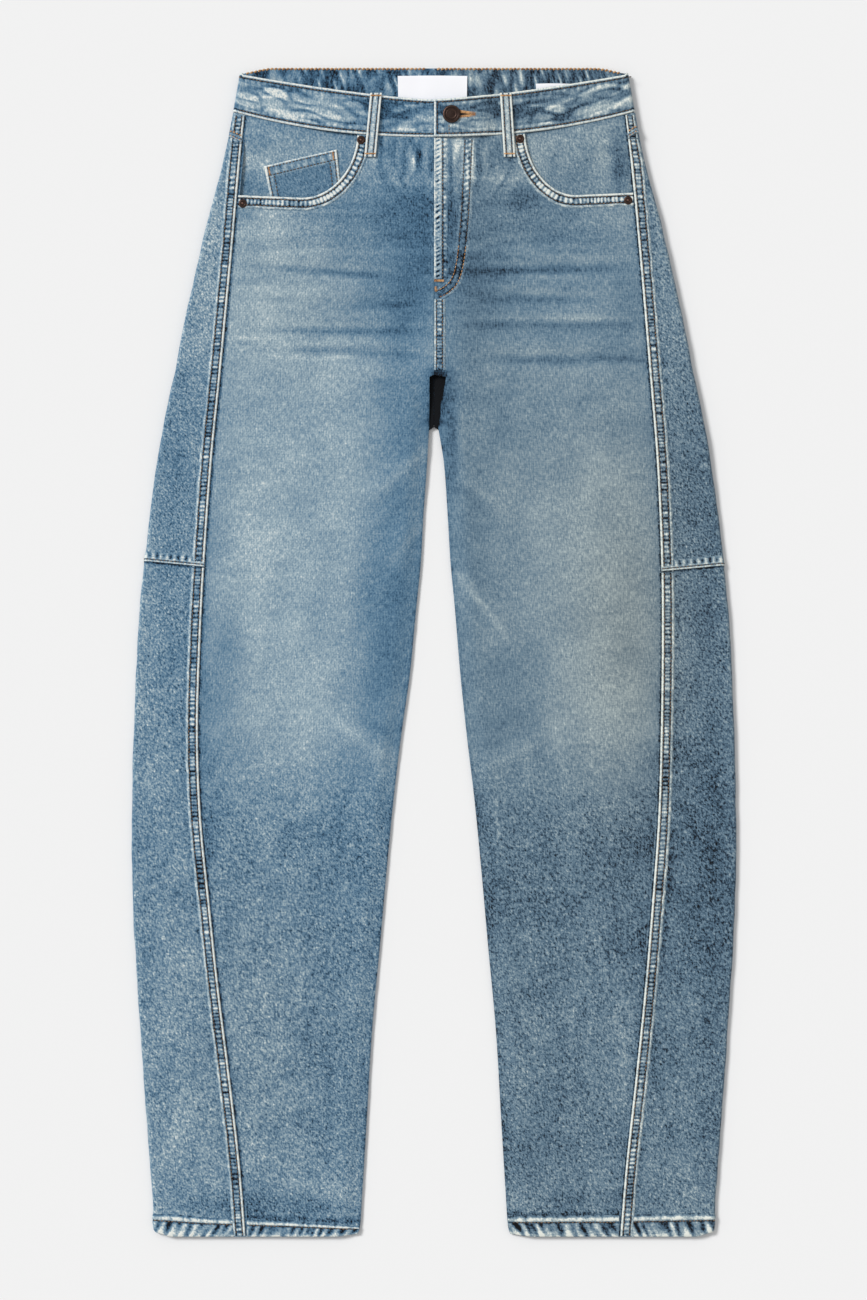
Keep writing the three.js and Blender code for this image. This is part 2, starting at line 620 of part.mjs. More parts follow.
// Pocket facings sink behind the front at the pocket mouth and rise to the waist and side seams
function facingDrop(side, x, y) {
  const full = DENIM + SEAM_GAP + (side === RIGHT ? COIN_WALL + COIN_CLEARANCE : 0);
  const width = seamX(side, y) - side.pocketTopX;
  const across = Math.max(0, (seamX(side, y) - x) / width);
  const down = Math.max(0, (bandLow(x) - y) / side.pocketDepth);
  const reach = (across ** FACING_ROUNDNESS + down ** FACING_ROUNDNESS) ** (1 / FACING_ROUNDNESS);
  return full * smoothstep(reach, FACING_SINKS.from, FACING_SINKS.to);
}

const facingLevel = (side, x, y) => topLevel(side, x, y) - facingDrop(side, x, y);

function pocketFacing(side) {
  const steps = (count) => Array.from({ length: count + 1 }, (_, k) => k / count);
  const geometry = wallFrom(steps(FACING_STEPS.up), steps(FACING_STEPS.across), (up, across) => {
    const innerEdge = side.pocketTopX - FACING_HIDDEN / 2;
    const lowY = pocketMouthY(side, 1) - FACING_HIDDEN;
    const topX = lerp(innerEdge, seamX(side, bandLow(YOKE_SEAM_X)), across);
    const y = lerp(lowY, bandLow(topX) - SEAM_GAP, up);
    const x = lerp(innerEdge, seamX(side, y) - SEAM_GAP, across);
    const z = facingLevel(side, x, y);
    return { outer: vector(side, x, y, z), inner: vector(side, x, y, z - DENIM) };
  });
  return piece(`pocket_facing_${side.name}`, geometry, materials.denimDark);
}

function coinPocket() {
  const geometry = wallFrom(COIN_STEPS, COIN_STEPS, (up, across) => {
    const along = (edge, axis) => lerp(edge.inner[axis], edge.outer[axis], across);
    const x = lerp(along(COIN.low, "x"), along(COIN.top, "x"), up);
    const y = lerp(along(COIN.low, "y") - COIN_HIDDEN, along(COIN.top, "y"), up);
    const z = facingLevel(RIGHT, x, y) + COIN_CLEARANCE;
    return { outer: vector(RIGHT, x, y, z + COIN_WALL), inner: vector(RIGHT, x, y, z) };
  });
  return piece("coin_pocket", geometry, materials.denimFront);
}

function frontLoop({ side, topX, lowX }) {
  const overBand = BAND_FRONT_TOP + SEAM_GAP;
  const onFront = topLevel(side, lowX, LOOP_LOW_Y) + SEAM_GAP;
  const rows = [
    { y: LOOP_TOP_Y, z: overBand },
    { y: LOOP_TOP_Y - LOOP_BENDS.top, z: overBand },
    { y: LOOP_TOP_Y - LOOP_BENDS.archFrom, z: overBand + LOOP_ARCH },
    { y: LOOP_TOP_Y - LOOP_BENDS.archTo, z: overBand + LOOP_ARCH },
    { y: LOOP_LOW_Y + LOOP_BENDS.footFrom, z: onFront + LOOP_ARCH / 2 },
    { y: LOOP_LOW_Y + LOOP_BENDS.foot, z: onFront },
    { y: LOOP_LOW_Y, z: onFront },
  ];
  const geometry = wallFrom(rows, [-0.5, 0.5], (row, across) => {
    const middle = lerp(lowX, topX, (row.y - LOOP_LOW_Y) / (LOOP_TOP_Y - LOOP_LOW_Y));
    const x = middle + across * LOOP_WIDTH;
    return { outer: vector(side, x, row.y, row.z + LOOP_WALL), inner: vector(side, x, row.y, row.z) };
  });
  return piece(`belt_loop_front_${side.name}`, geometry, materials.denimFront);
}

// Flat pieces: an outline on the xy plane, given a thickness upwards from a level
function flatPiece(name, outline, level, thickness, material) {
  const shape = new THREE.Shape(outline.map(([x, y]) => new THREE.Vector2(x, y)));
  const geometry = new THREE.ExtrudeGeometry(shape, { depth: thickness, bevelEnabled: false });
  const mesh = piece(name, geometry, material);
  mesh.position.z = level;
  return mesh;
}

function backLoop({ name, x }) {
  const top = bandBackTop(Math.abs(x)) - BACK_LOOP_SET_DOWN;
  const half = LOOP_WIDTH / 2;
  const low = top - BACK_LOOP_LENGTH;
  const outline = [[x - half, low], [x + half, low], [x + half, top], [x - half, top]];
  return flatPiece(`belt_loop_back_${name}`, outline, 0, DENIM, materials.denimSide);
}

function backPocket(side) {
  const { x, top, topWidth, lowWidth, sideDepth, point, tilt } = BACK_POCKET;
  const outline = [
    [-topWidth / 2, 0],
    [-lowWidth / 2, -sideDepth],
    [0, -sideDepth - point],
    [lowWidth / 2, -sideDepth],
    [topWidth / 2, 0],
  ];
  const mesh = flatPiece(`back_pocket_${side.name}`, outline, 0, DENIM, materials.denimSide);
  mesh.position.set(side.sign * x, top, 0);
  mesh.rotation.z = degToRad(side.sign * tilt);
  return mesh;
}

function label({ name, fromX, toX, fromY, toY }) {
  const outline = [[fromX, fromY], [toX, fromY], [toX, toY], [fromX, toY]];
  return flatPiece(name, outline, SEAT_LIFT + BAND_WALL + SEAM_GAP, LABEL_WALL, materials.label);
}

// Metal fittings, turned about their own axis
function turned(name, profile, x, y, z) {
  const points = profile.map(([radius, height]) => new THREE.Vector2(radius, height));
  const geometry = new THREE.LatheGeometry(points, ROUND_SIDES);
  geometry.deleteAttribute("normal");
  geometry.deleteAttribute("uv");
  const mesh = piece(name, mergeVertices(geometry), materials.copper);
  mesh.rotation.x = Math.PI / 2;
  mesh.position.set(x, y, z);
  mesh.geometry.computeVertexNormals();
  return mesh;
}

// The button stands on the under end of the waistband, and its neck passes through the buttonhole
function shankButton() {
  const neckFoot = BAND_FRONT_TOP + SEAM_GAP;
  const capBase = BAND_WALL + 2 * SEAM_GAP;
  const profile = [
    [0, 0],
    [BUTTON_NECK_RADIUS, 0],
    [BUTTON_NECK_RADIUS, capBase],
    ...BUTTON_CAP.map(([radius, height]) => [radius, capBase + height]),
  ];
  return turned("button", profile, BUTTON_X, BUTTON_Y, neckFoot);
}

function rivet({ side, place, x, y }) {
  const z = topLevel(side, x, y) + SEAM_GAP;
  return turned(`rivet_${side.name}_${place}`, RIVET_PROFILE, side.sign * x, y, z);
}

const wasm = await Module();
wasm.setup();

const group = new THREE.Group();
for (const side of [LEFT, RIGHT]) {
  const leg = new THREE.Group();
  leg.add(frontPanel(side), backUpper(side), backLower(side), backYoke(side));
  leg.add(pocketFacing(side), backPocket(side));
  group.add(leg);
}
const waist = new THREE.Group();
waist.add(waistbandLeft(wasm), piece("waistband_right", waistbandHalf(RIGHT), materials.denimFront));
waist.add(...FRONT_LOOPS.map(frontLoop), ...BACK_LOOPS.map(backLoop), ...LABELS.map(label), coinPocket());
const fittings = new THREE.Group();
fittings.add(shankButton(), ...RIVETS.map(rivet));
group.add(waist, fittings);

export default group;
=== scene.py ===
# %% [markdown]
# # Barrel-leg denim trousers, laid flat
# These are five-pocket jeans, lying on their back with the front up. A maker cuts them from one bolt of
# indigo twill, sews them with felled seams, and washes them until every raised edge goes pale.
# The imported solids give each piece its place. Here each of them gets its cloth, sewing and wear.

# %% The frame, and its box before anything is dressed
import math

import bpy
import numpy as np
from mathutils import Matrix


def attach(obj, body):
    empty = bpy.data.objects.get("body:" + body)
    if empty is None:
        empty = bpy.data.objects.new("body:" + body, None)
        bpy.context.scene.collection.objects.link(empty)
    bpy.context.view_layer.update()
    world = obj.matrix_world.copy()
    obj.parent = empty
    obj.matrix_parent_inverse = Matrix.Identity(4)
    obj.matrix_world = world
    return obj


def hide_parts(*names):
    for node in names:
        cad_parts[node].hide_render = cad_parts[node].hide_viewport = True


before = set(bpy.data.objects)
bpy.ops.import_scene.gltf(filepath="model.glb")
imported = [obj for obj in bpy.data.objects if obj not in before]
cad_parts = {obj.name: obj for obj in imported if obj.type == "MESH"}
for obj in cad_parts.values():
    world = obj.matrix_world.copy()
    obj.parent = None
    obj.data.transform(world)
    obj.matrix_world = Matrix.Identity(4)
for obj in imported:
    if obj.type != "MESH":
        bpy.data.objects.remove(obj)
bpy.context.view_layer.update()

print("solids to dress:", len(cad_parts))

# %% [markdown]
# ## The measures that the solids were drawn from
# The cloth has to lie where the solids lie, so the same tables give its outline and its seams. They are in
# millimetres. On each side x counts outwards from the centre line, so one table can serve both legs.

# %% Outline, seams and layers
MM = 0.001
LEFT = {"name": "left", "sign": 1, "knee": 78, "yoke": 467, "pocket_x": 82, "pocket_depth": 56}
RIGHT = {"name": "right", "sign": -1, "knee": 82, "yoke": 463, "pocket_x": 69, "pocket_depth": 57}
BOTH = (LEFT, RIGHT)

# y, outer edge, inner edge of the left leg, inner edge of the right leg
OUTLINE = np.array([
    (526, 174, 0, 0), (486, 181, 0, 0), (440, 190, 0, 0), (400, 201, 0, 0), (350, 213, 0, 0),
    (300, 224, 0, 0), (250, 234, 0, 0), (248, 234.5, 10.8, 4.1), (227, 239, 8, 4.1), (202, 244, 3.9, 4.4),
    (170, 249.5, 9, 6.2), (124, 256, 12.3, 9.5), (80, 261, 15, 12), (40, 265, 18.8, 16),
    (-20, 268.5, 23.8, 21.8), (-75, 270.5, 29.6, 29.6), (-133, 272, 36.5, 36.5), (-200, 272, 43, 43),
    (-262, 269.5, 48.5, 48.5), (-341, 264.5, 55.8, 55.8), (-420, 259, 60.5, 60.5),
    (-490, 253.7, 64.8, 64.8), (-519, 252, 67, 67), (-526, 248, 70, 70),
])
# y, edge of the felled seam on the left side, and on the right side
FRONT_SEAM = np.array([
    (526, 167, 166), (440, 177, 174.5), (350, 185.5, 182.5), (250, 194, 192), (170, 200.5, 200),
    (80, 204.5, 206.5), (0, 205, 210.5), (-75, 204, 212.3), (-150, 201.7, 209.5), (-225, 196.3, 202),
    (-300, 190, 194), (-380, 181.8, 184), (-460, 173, 174.8), (-526, 167.5, 169.5),
])
WALL = 1.1  # one layer of 14 ounce denim
SEAM_GAP = 0.3
HEM_Y = -526
HEM_RISE_FROM, HEM_RISE_TO = -512, -470
HEM_OUTER, HEM_OUTER_LIFT = (236, 253), 4.2
HEM_INNER, HEM_INNER_LIFT = (64, 90), 2.6
FRONT_CROTCH, BACK_CROTCH = 250, 202
YOKE_CENTRE, YOKE_FALL, KNEE_FALL = 423, 4.5, 5
BAND_WALL, BAND_LAP = 2.2, 40
BAND_BACK_Z, BAND_FRONT_Z = 1.5, 5.3
BAND_SPAN = 176


def lerp(a, b, t):
    return a + (b - a) * t


def smoothstep(v, low, high):
    t = np.clip((np.asarray(v, float) - low) / (high - low), 0, 1)
    return t * t * (3 - 2 * t)


def run_along(steps):
    """How far along a line its points are, from the steps between them."""
    return np.concatenate([[0], np.cumsum(steps)])


def read_smooth(table, column, y):
    """The table's column at y, along a smooth curve through its rows, which run from high y to low."""
    ys, values = table[:, 0], table[:, column]
    y = np.asarray(y, float)
    below = np.clip(np.searchsorted(-ys, -y), 1, len(ys) - 1)
    above = below - 1

    def slope(k):
        up, down = np.maximum(k - 1, 0), np.minimum(k + 1, len(ys) - 1)
        return (values[up] - values[down]) / (ys[up] - ys[down])

    span = ys[above] - ys[below]
    t = np.clip((y - ys[below]) / span, 0, 1)
    bend = slope(below) * span * t * (1 - t) ** 2 - slope(above) * span * t * t * (1 - t)
    return values[below] + (values[above] - values[below]) * t * t * (3 - 2 * t) + bend


def fold_x(y):
    return read_smooth(OUTLINE, 1, y)


def seam_x(side, y):
    return read_smooth(FRONT_SEAM, 1 if side is LEFT else 2, y)


def inner_x(side, y):
    """The inner edge of a leg. At the crotch it steps, so there it is read in straight lines."""
    column = 2 if side is LEFT else 3
    straight = np.interp(-np.asarray(y, float), -OUTLINE[:, 0], OUTLINE[:, column])
    leg = OUTLINE[OUTLINE[:, 0] <= BACK_CROTCH]
    return np.maximum(np.where(y > BACK_CROTCH, straight, read_smooth(leg, column, y)), SEAM_GAP / 2)


def back_inner_x(side, y):
    return np.where(y > BACK_CROTCH, SEAM_GAP / 2, inner_x(side, y))


def hem_y(x):
    """The lower edge, which turns up at both corners of a leg."""
    outer = HEM_OUTER_LIFT * smoothstep(x, *HEM_OUTER)
    return HEM_Y + outer + HEM_INNER_LIFT * (1 - smoothstep(x, *HEM_INNER))


def band_low(x):
    return 463.6 + 22.8 * (np.abs(x) / 180.5) ** 2.2


def band_top(x):
    return 497.3 + 23.1 * (np.abs(x) / BAND_SPAN) ** 1.35


def band_back_low(x):
    return lerp(491, 486.4, x / BAND_SPAN)


def band_back_top(x):
    return lerp(526, 521.2, smoothstep(x, 145, BAND_SPAN))


print("half width at the knee:", float(fold_x(-133)), "mm")

# %% [markdown]
# ## How the cloth lies
# Laid out by hand, denim isn't flat. It keeps the folds of being worn: level creases over the hips, slanted
# ones from the crotch, and small puckers along each seam, where the thread has drawn the cloth up. Cloth
# simulation makes soft, even ripples and loses these, so each crease is listed here. Sums of slow
# waves, the same on every run, add the last unevenness.

# %% Creases, listed one by one
# side, x, y, length, turn in degrees going outwards, half width, height
CREASES = [
    (LEFT, 84, 371, 86, 7, 8, -0.6), (LEFT, 107, 344, 120, 2, 8, -0.8), (LEFT, 91, 317, 99, -1, 7, -0.8),
    (LEFT, 100, 290, 144, 0, 8, -0.9), (LEFT, 104, 264, 126, 1, 7, -0.7),
    (LEFT, 46, 146, 70, -39, 10, 0.9), (LEFT, 47, 38, 90, -51, 11, 1), (LEFT, 62, -97, 60, 27, 10, 0.7),
    (RIGHT, 34, 371, 50, 2, 8, -0.6), (RIGHT, 87, 341, 150, 5, 8, -0.9), (RIGHT, 45, 315, 60, 0, 8, -0.7),
    (RIGHT, 82, 289, 140, 1, 8, -0.8), (RIGHT, 71, 268, 126, 2, 7, -0.7),
    (RIGHT, 31, 162, 70, -42, 10, 0.9), (RIGHT, 30, 99, 55, -50, 9, 0.8),
    (RIGHT, 60, -81, 70, 33, 10, 0.8),
]
# Smaller ones, too fine for the solids
FOLDS = [
    (LEFT, 70, 392, 70, 12, 3, 0.3), (LEFT, 60, 330, 60, 4, 3, 0.3), (LEFT, 130, 303, 70, -2, 3, 0.3),
    (LEFT, 40, 92, 60, -48, 4, 0.4), (LEFT, 34, 62, 50, -50, 4, 0.35), (LEFT, 40, 12, 45, -46, 4, 0.3),
    (LEFT, 22, 205, 60, -80, 4, 0.5), (LEFT, 150, 215, 60, 30, 5, 0.25),
    (LEFT, 120, -150, 90, 20, 7, 0.3), (LEFT, 90, -260, 80, -25, 7, 0.3),
    (LEFT, 150, -330, 80, 35, 8, 0.35), (LEFT, 110, -430, 90, -20, 7, 0.3),
    (RIGHT, 60, 395, 80, 4, 3, 0.3), (RIGHT, 120, 372, 90, 8, 3, 0.25), (RIGHT, 110, 322, 80, 3, 3, 0.3),
    (RIGHT, 40, 130, 50, -45, 4, 0.35), (RIGHT, 38, 70, 50, -52, 4, 0.35),
    (RIGHT, 88, -60, 60, 40, 4, 0.4), (RIGHT, 150, 190, 70, 25, 6, 0.25),
    (RIGHT, 180, -60, 60, -60, 6, 0.3), (RIGHT, 120, -190, 90, -22, 7, 0.3),
    (RIGHT, 100, -300, 70, 30, 7, 0.3), (RIGHT, 140, -410, 90, -15, 8, 0.35),
    (RIGHT, 110, -480, 70, 10, 6, 0.3), (LEFT, 225, 330, 50, 80, 4, 0.3),
    (LEFT, 240, 110, 60, 75, 5, 0.3), (LEFT, 245, -160, 70, 85, 6, 0.35),
    (LEFT, 228, -330, 60, 70, 5, 0.3), (RIGHT, 225, 200, 60, 70, 5, 0.3),
    (RIGHT, 246, 20, 60, 95, 6, 0.3), (RIGHT, 240, -250, 70, 80, 6, 0.35),
    (RIGHT, 215, -420, 60, 70, 5, 0.3),
]
# Under the seat and legs: hollows behind the knees and below the seat
HOLLOWS = [
    (LEFT, 120, 190, 150, 6, 9, 0.8), (LEFT, 110, 60, 150, -8, 10, 0.9), (LEFT, 130, 20, 130, 10, 9, 0.7),
    (LEFT, 150, -120, 140, -12, 12, 0.7), (LEFT, 140, -300, 130, 14, 12, 0.7),
    (LEFT, 60, 240, 70, -40, 8, 0.7), (RIGHT, 130, 180, 160, -5, 9, 0.8),
    (RIGHT, 105, 75, 140, 9, 10, 0.9), (RIGHT, 140, 30, 120, -7, 9, 0.7),
    (RIGHT, 150, -150, 150, 10, 12, 0.7), (RIGHT, 130, -330, 120, -15, 12, 0.7),
    (RIGHT, 55, 235, 70, -42, 8, 0.7),
]


def crease_height(rows, side, x, y):
    total = np.zeros(np.broadcast(x, y).shape)
    for at, cx, cy, length, turn, width, height in rows:
        if at is not side:
            continue
        c, s = math.cos(math.radians(turn)), math.sin(math.radians(turn))
        along = ((x - cx) * c + (y - cy) * s) * 2 / length
        across = ((y - cy) * c - (x - cx) * s) / width
        total += height * np.exp(-(across ** 2)) * np.exp(-(along ** 4))
    return total


def waves(a, b, size, seed):
    """A slow unevenness between about -1 and 1, of waves about size millimetres long."""
    draw = np.random.default_rng(seed)
    total = np.zeros(np.broadcast(a, b).shape)
    for _ in range(9):
        angle, phase = draw.uniform(0, 2 * math.pi, 2)
        length = size * draw.uniform(0.7, 1.5)
        total += np.sin((a * math.cos(angle) + b * math.sin(angle)) * 2 * math.pi / length + phase)
    return total / 5


def ripples(a, size, seed):
    """The same along one direction."""
    return waves(a, 0 * a, size, seed)


def seat_lift(y):
    return 1.5 * smoothstep(y, 120, 195)


def top_level(side, x, y):
    """Height of the upper layer as the solids have it."""
    base = seat_lift(y)
    body = lerp(4.4, 5.6, smoothstep(y, HEM_Y, 380)) + crease_height(CREASES, side, x, y)
    away = np.maximum(smoothstep(x - inner_x(side, y), 0, 18), smoothstep(y, BACK_CROTCH, FRONT_CROTCH))
    return base + lerp(2.7, body, away)


def drape(side, x, y):
    """What the solids leave out: small folds, and puckers beside the front seam and the inner edge."""
    sx = x * side["sign"]
    uneven = 0.2 * waves(sx, y, 70, 11) + 0.09 * waves(sx, y, 24, 12)
    off_seam = np.abs(x - seam_x(side, y))
    pucker = 0.16 * np.exp(-off_seam / 6) * np.sin(y * 2 * math.pi / 7.3 + 2 * ripples(y, 60, 13))
    off_inner = x - inner_x(side, y)
    pinch = 0.2 * np.exp(-off_inner / 7) * ripples(y, 17, 14 + side["sign"])
    in_from_fold = smoothstep(fold_x(y) - x, 2, 22)
    calm = smoothstep(off_inner, 0, 6) * in_from_fold * smoothstep(480 - y, 0, 30)
    return calm * (crease_height(FOLDS, side, x, y) + uneven + pucker) + pinch * in_from_fold


def place(side, x, y, z):
    return np.stack(np.broadcast_arrays(side["sign"] * x, y, z), axis=-1).astype(float)


def straight(points, z=1.0):
    """The normal of a level face, up or with -1 down, at every point."""
    return np.broadcast_to((0.0, 0.0, z), points.shape)


def top_surface(side, x, y):
    """Where the upper layer's face is, and which way it faces."""
    points = place(side, x, y, top_level(side, x, y) + drape(side, x, y))
    return points, straight(points)


def wrap_lengths(side, y):
    """Along a row of the side piece: where the seam is, where the fold starts, and the fold's radius."""
    radius = (top_level(side, fold_x(y), y) - seat_lift(y)) / 2
    return seam_x(side, y), fold_x(y) - radius, radius


def wrap_surface(side, w, y):
    """The side piece's face at a distance w out from the front seam: over, round the fold, and under."""
    edge, turn, radius = wrap_lengths(side, y)
    over = turn - edge
    past = np.maximum(w - over, 0)
    angle = np.clip(past / radius, 0, math.pi)
    below = np.maximum(past - math.pi * radius, 0)
    x = np.where(past > 0, turn + radius * np.sin(angle) - below, edge + w)
    on_top = top_level(side, np.minimum(x, turn), y) + drape(side, x, y)
    base = seat_lift(y)
    swell = 0.35 * np.sin(angle) * ripples(y, 34, 21 + side["sign"])
    calm = smoothstep(below, 0, 20) * smoothstep(x - back_inner_x(side, y), 0, 12)
    hollow = calm * np.clip(crease_height(HOLLOWS, side, x, y) + 0.25 + 0.25 * waves(x, y, 60, 31), 0, 1.2)
    round_z = base + radius + (radius + swell) * np.cos(angle)
    z = np.where(past <= 0, on_top, np.where(below > 0, base + hollow, round_z))
    x = x + swell * np.sin(angle)
    normal = place(side, np.sin(angle), 0 * y, np.cos(angle))
    return place(side, x, y, z), normal


for side in BOTH:
    print(side["name"], "cloth top at the hip:", round(float(top_surface(side, 100, 330)[0][2]), 2), "mm")

# %% [markdown]
# ## Where the wash has taken the colour out, and where shade is painted in
# Indigo only coats the warp, so wherever the cloth was rubbed the white core shows: on thighs, edges, seams
# and the tops of folds. One number at each point of the cloth says how worn it is, from raw indigo to 1,
# nearly white. The same number carries painted shade, which takes it down towards 0, near black: beside
# seams, laps and loops, round the crotch, and inside the back below it. Broad fades are soft ellipses, and
# narrow ones are the whiskers.

# %% Fades, whiskers, blotches and painted shade
# Tone from waist to hem, away from the fades. The left leg's is lower, partly as painted shade, as the
# light falls off towards that side
TONE_Y = [-526, -440, -370, -300, -230, -150, -110, -40, 60, 200, 300, 380, 465, 526]
TONE = {
    "left": [0.49, 0.42, 0.46, 0.41, 0.35, 0.38, 0.46, 0.5, 0.52, 0.48, 0.49, 0.5, 0.52, 0.55],
    "right": [0.58, 0.56, 0.54, 0.56, 0.51, 0.48, 0.55, 0.59, 0.58, 0.6, 0.61, 0.57, 0.55, 0.59],
}
# x, y, half width, half height, turn in degrees, how much paler
# Some rows are painted shade: the last four are shadows beside the front belt loops, (6, 251) is shade at
# the crotch end of the rise seam, (16, 200) and (26, 195) are the shaded and the lit side of a roll on the
# left leg, and (-7, 380) is shade beside the fly's folded edge.
FADES_AND_SHADE = [
    (-150, 345, 58, 70, 0, 0.09), (-150, 70, 52, 140, 3, 0.13), (-115, -70, 34, 62, 0, 0.12),
    (-85, 190, 45, 70, 0, 0.06), (-40, 30, 30, 110, -4, -0.2), (-30, 330, 34, 110, 0, -0.17),
    (-14, 370, 24, 70, 0, -0.1), (-75, 392, 36, 22, 0, -0.12), (-190, -20, 26, 60, -20, -0.1),
    (-196, 395, 14, 40, 0, 0.05), (-120, 445, 40, 14, -8, 0.04), (140, 0, 54, 115, 0, 0.1),
    (100, 130, 55, 70, 0, 0.06), (36, 60, 20, 110, 0, -0.09), (28, 360, 34, 75, 0, -0.19),
    (75, -45, 30, 40, 0, -0.08), (150, 430, 30, 20, 0, 0.05), (90, 395, 30, 16, 10, -0.06),
    (166, 385, 26, 26, 0, 0.08), (12, 300, 14, 60, 0, 0.1), (-212, 40, 9, 30, 0, -0.14),
    (-212, -22, 10, 20, 0, -0.12), (-206, -92, 8, 26, 0, -0.13), (-203, -172, 8, 30, 0, -0.12),
    (-190, -263, 9, 30, 0, -0.1), (-184, -394, 8, 26, 0, -0.12), (-170, -497, 14, 16, 0, -0.16),
    (-205, -497, 16, 9, 0, -0.14), (208, -38, 9, 28, 0, -0.12), (213, -92, 20, 18, 0, -0.17),
    (186, -172, 26, 16, 0, -0.12), (203, -190, 10, 24, 0, -0.12), (197, -263, 20, 18, 0, -0.12),
    (190, -330, 10, 26, 0, -0.1), (180, -443, 8, 24, 0, -0.14), (172, -495, 14, 14, 0, -0.12),
    (125, -495, 40, 8, 0, -0.1), (-110, -500, 40, 7, 0, -0.1), (-238, -20, 18, 60, 0, -0.05),
    (-235, -150, 20, 40, 0, 0.04), (150, 60, 24, 30, 0, 0.03), (232, 20, 26, 190, 0, -0.05),
    (235, -150, 26, 70, 0, -0.07), (-228, 160, 20, 60, 0, -0.05), (6, 251, 9, 5, 0, -0.35),
    (-150, 390, 46, 30, 0, 0.1), (-165, 300, 40, 50, 0, 0.06), (150, 300, 60, 60, 0, 0.04),
    (-60, 262, 60, 22, 0, 0.09), (-30, 180, 20, 90, 0, -0.1), (-162, 60, 16, 110, 0, 0.07),
    (-78, 90, 24, 110, 0, 0.08), (-95, -330, 45, 200, 0, -0.1), (-165, -497, 60, 14, 0, -0.12),
    (120, 258, 70, 26, 0, 0.08), (150, 150, 50, 60, 0, 0.1), (80, -440, 40, 60, 0, -0.08),
    (16, 200, 6, 45, 0, -0.22), (26, 195, 4, 45, 0, 0.06), (-232, 230, 22, 90, 0, -0.12),
    (-236, 60, 22, 110, 0, -0.1), (236, 110, 30, 150, 0, -0.12), (170, 320, 14, 60, 0, -0.08),
    (-7, 380, 8, 80, 0, -0.05), (165, 450, 30, 20, 0, 0.08), (150, -60, 60, 40, 0, 0.1),
    (-16, -10, 10, 26, 0, -0.06), (252, -180, 16, 300, 0, -0.12), (-168, 393, 9, 9, 0, -0.22),
    (78, 413, 11, 12, 0, -0.15), (28, 432, 18, 24, 0, 0.17), (14, 392, 7, 14, 0, -0.14),
    (-40, 443, 12, 12, 0, 0.08), (122, 394, 14, 8, 0, -0.09), (41, 11, 12, 24, 0, 0.08),
    (122, -366, 22, 30, 0, -0.07), (212, -366, 22, 34, 0, -0.1), (-75, 308, 20, 14, 0, -0.08),
    (-78, -490, 16, 12, 0, 0.1), (77, -491, 20, 12, 0, 0.09), (-69, 452, 3, 10, 0, -0.25),
    (-47, 450, 3, 12, 0, -0.25), (57.5, 450, 3, 10, 0, -0.2), (78.5, 450, 3, 10, 0, -0.25),
]
# x, y, half length, half width, turn, how much paler
WHISKERS = [
    (-65, 401, 52, 2.2, 0, -0.05), (-33, 376, 20, 2.5, 0, -0.08), (-87, 341.5, 74, 3, -4.9, -0.12),
    (-87, 347.5, 66, 3, -4.9, 0.05), (-40, 313, 27, 2.5, 0, -0.08), (-82, 289, 70, 3, 0, -0.12),
    (-82, 295, 62, 3, 0, 0.05), (-71, 269.5, 63, 3, -2.5, -0.1), (-120, 372, 50, 3, 4, -0.05),
    (-150, 318, 40, 2.5, 3, -0.05), (84, 370, 43, 2.5, 7, -0.09), (84, 376, 40, 3, 7, 0.04),
    (106, 344, 61, 3, 1, -0.1), (106, 350, 56, 3, 1, 0.05), (91, 317, 50, 2.5, 0, -0.08),
    (100, 295, 72, 3, 0, -0.11), (100, 301, 66, 3, 0, 0.05), (104, 263, 63, 3, 0, -0.08),
    (-31, 162, 32, 3, 42, 0.08), (-25, 98, 24, 3, 50, 0.07), (-60, -82, 34, 3, -33, 0.05),
    (-48, -70, 30, 3, -36, -0.06), (46, 142, 28, 2.4, -39, 0.05), (40, 132, 30, 2.4, -42, -0.05),
    (46, 38, 42, 2.4, -51, 0.05), (38, 50, 36, 2, -51, 0.04), (34, 30, 34, 2, -49, 0.06),
    (30, 60, 30, 2, -52, 0.05), (62, -97, 28, 3, 27, 0.04), (130, 90, 40, 2, 70, 0.03),
    (15.5, 428, 28, 1.8, 90, -0.1), (19.5, 432, 30, 1.8, 91, 0.12), (35, 444, 18, 2, 97, 0.12),
    (40, 438, 16, 2, 86, -0.09), (46, 444, 16, 2, 92, 0.11), (53, 436, 20, 2, 98, -0.08),
    (-8, 450, 12, 2.2, 84, 0.12), (-13, 449, 11, 2, 96, -0.1), (-19, 449, 12, 2.2, 92, 0.13),
    (-27, 448, 12, 2, 80, -0.09), (-33, 444, 17, 2.2, 86, 0.12), (-40, 443, 14, 2, 97, -0.12),
]
INSEAM_MARKS = {"left": 0.3, "right": 0.2}  # how dark the puckers along the inner edge are


def random_streaks(seed, count, x_range, y_range, length, width, turn_at, lean, amount):
    """Thin marks strewn over a box, each turned about as turn_at says for its x, half of them dark."""
    draw = np.random.default_rng(seed)
    rows = []
    for k in range(count):
        x, y = draw.uniform(*x_range), draw.uniform(*y_range)
        turn = turn_at(x) + draw.uniform(-lean, lean)
        much = draw.uniform(0.4, 1) * amount * (1 if k % 2 else -1)
        rows.append((x, y, draw.uniform(*length), draw.uniform(*width), turn, much))
    return rows


# The level marks of sitting, which cross both hips
HIP_STREAKS = random_streaks(
    45, 70, (-180, 180), (235, 440), (22, 55), (1.8, 3.8), lambda x: -x / 60, 5, 0.125
)
# Long faint marks down the lower legs
SHIN_STREAKS = random_streaks(
    48, 170, (-255, 255), (-500, -90), (18, 60), (1.8, 4.5), lambda x: 90 + x / 12, 13, 0.08
)
# Short marks where the cloth is gathered into the waistband
GATHERS = random_streaks(46, 60, (-80, 80), (425, 465), (8, 20), (1.6, 2.8), lambda x: 90 - x / 3, 22, 0.28)


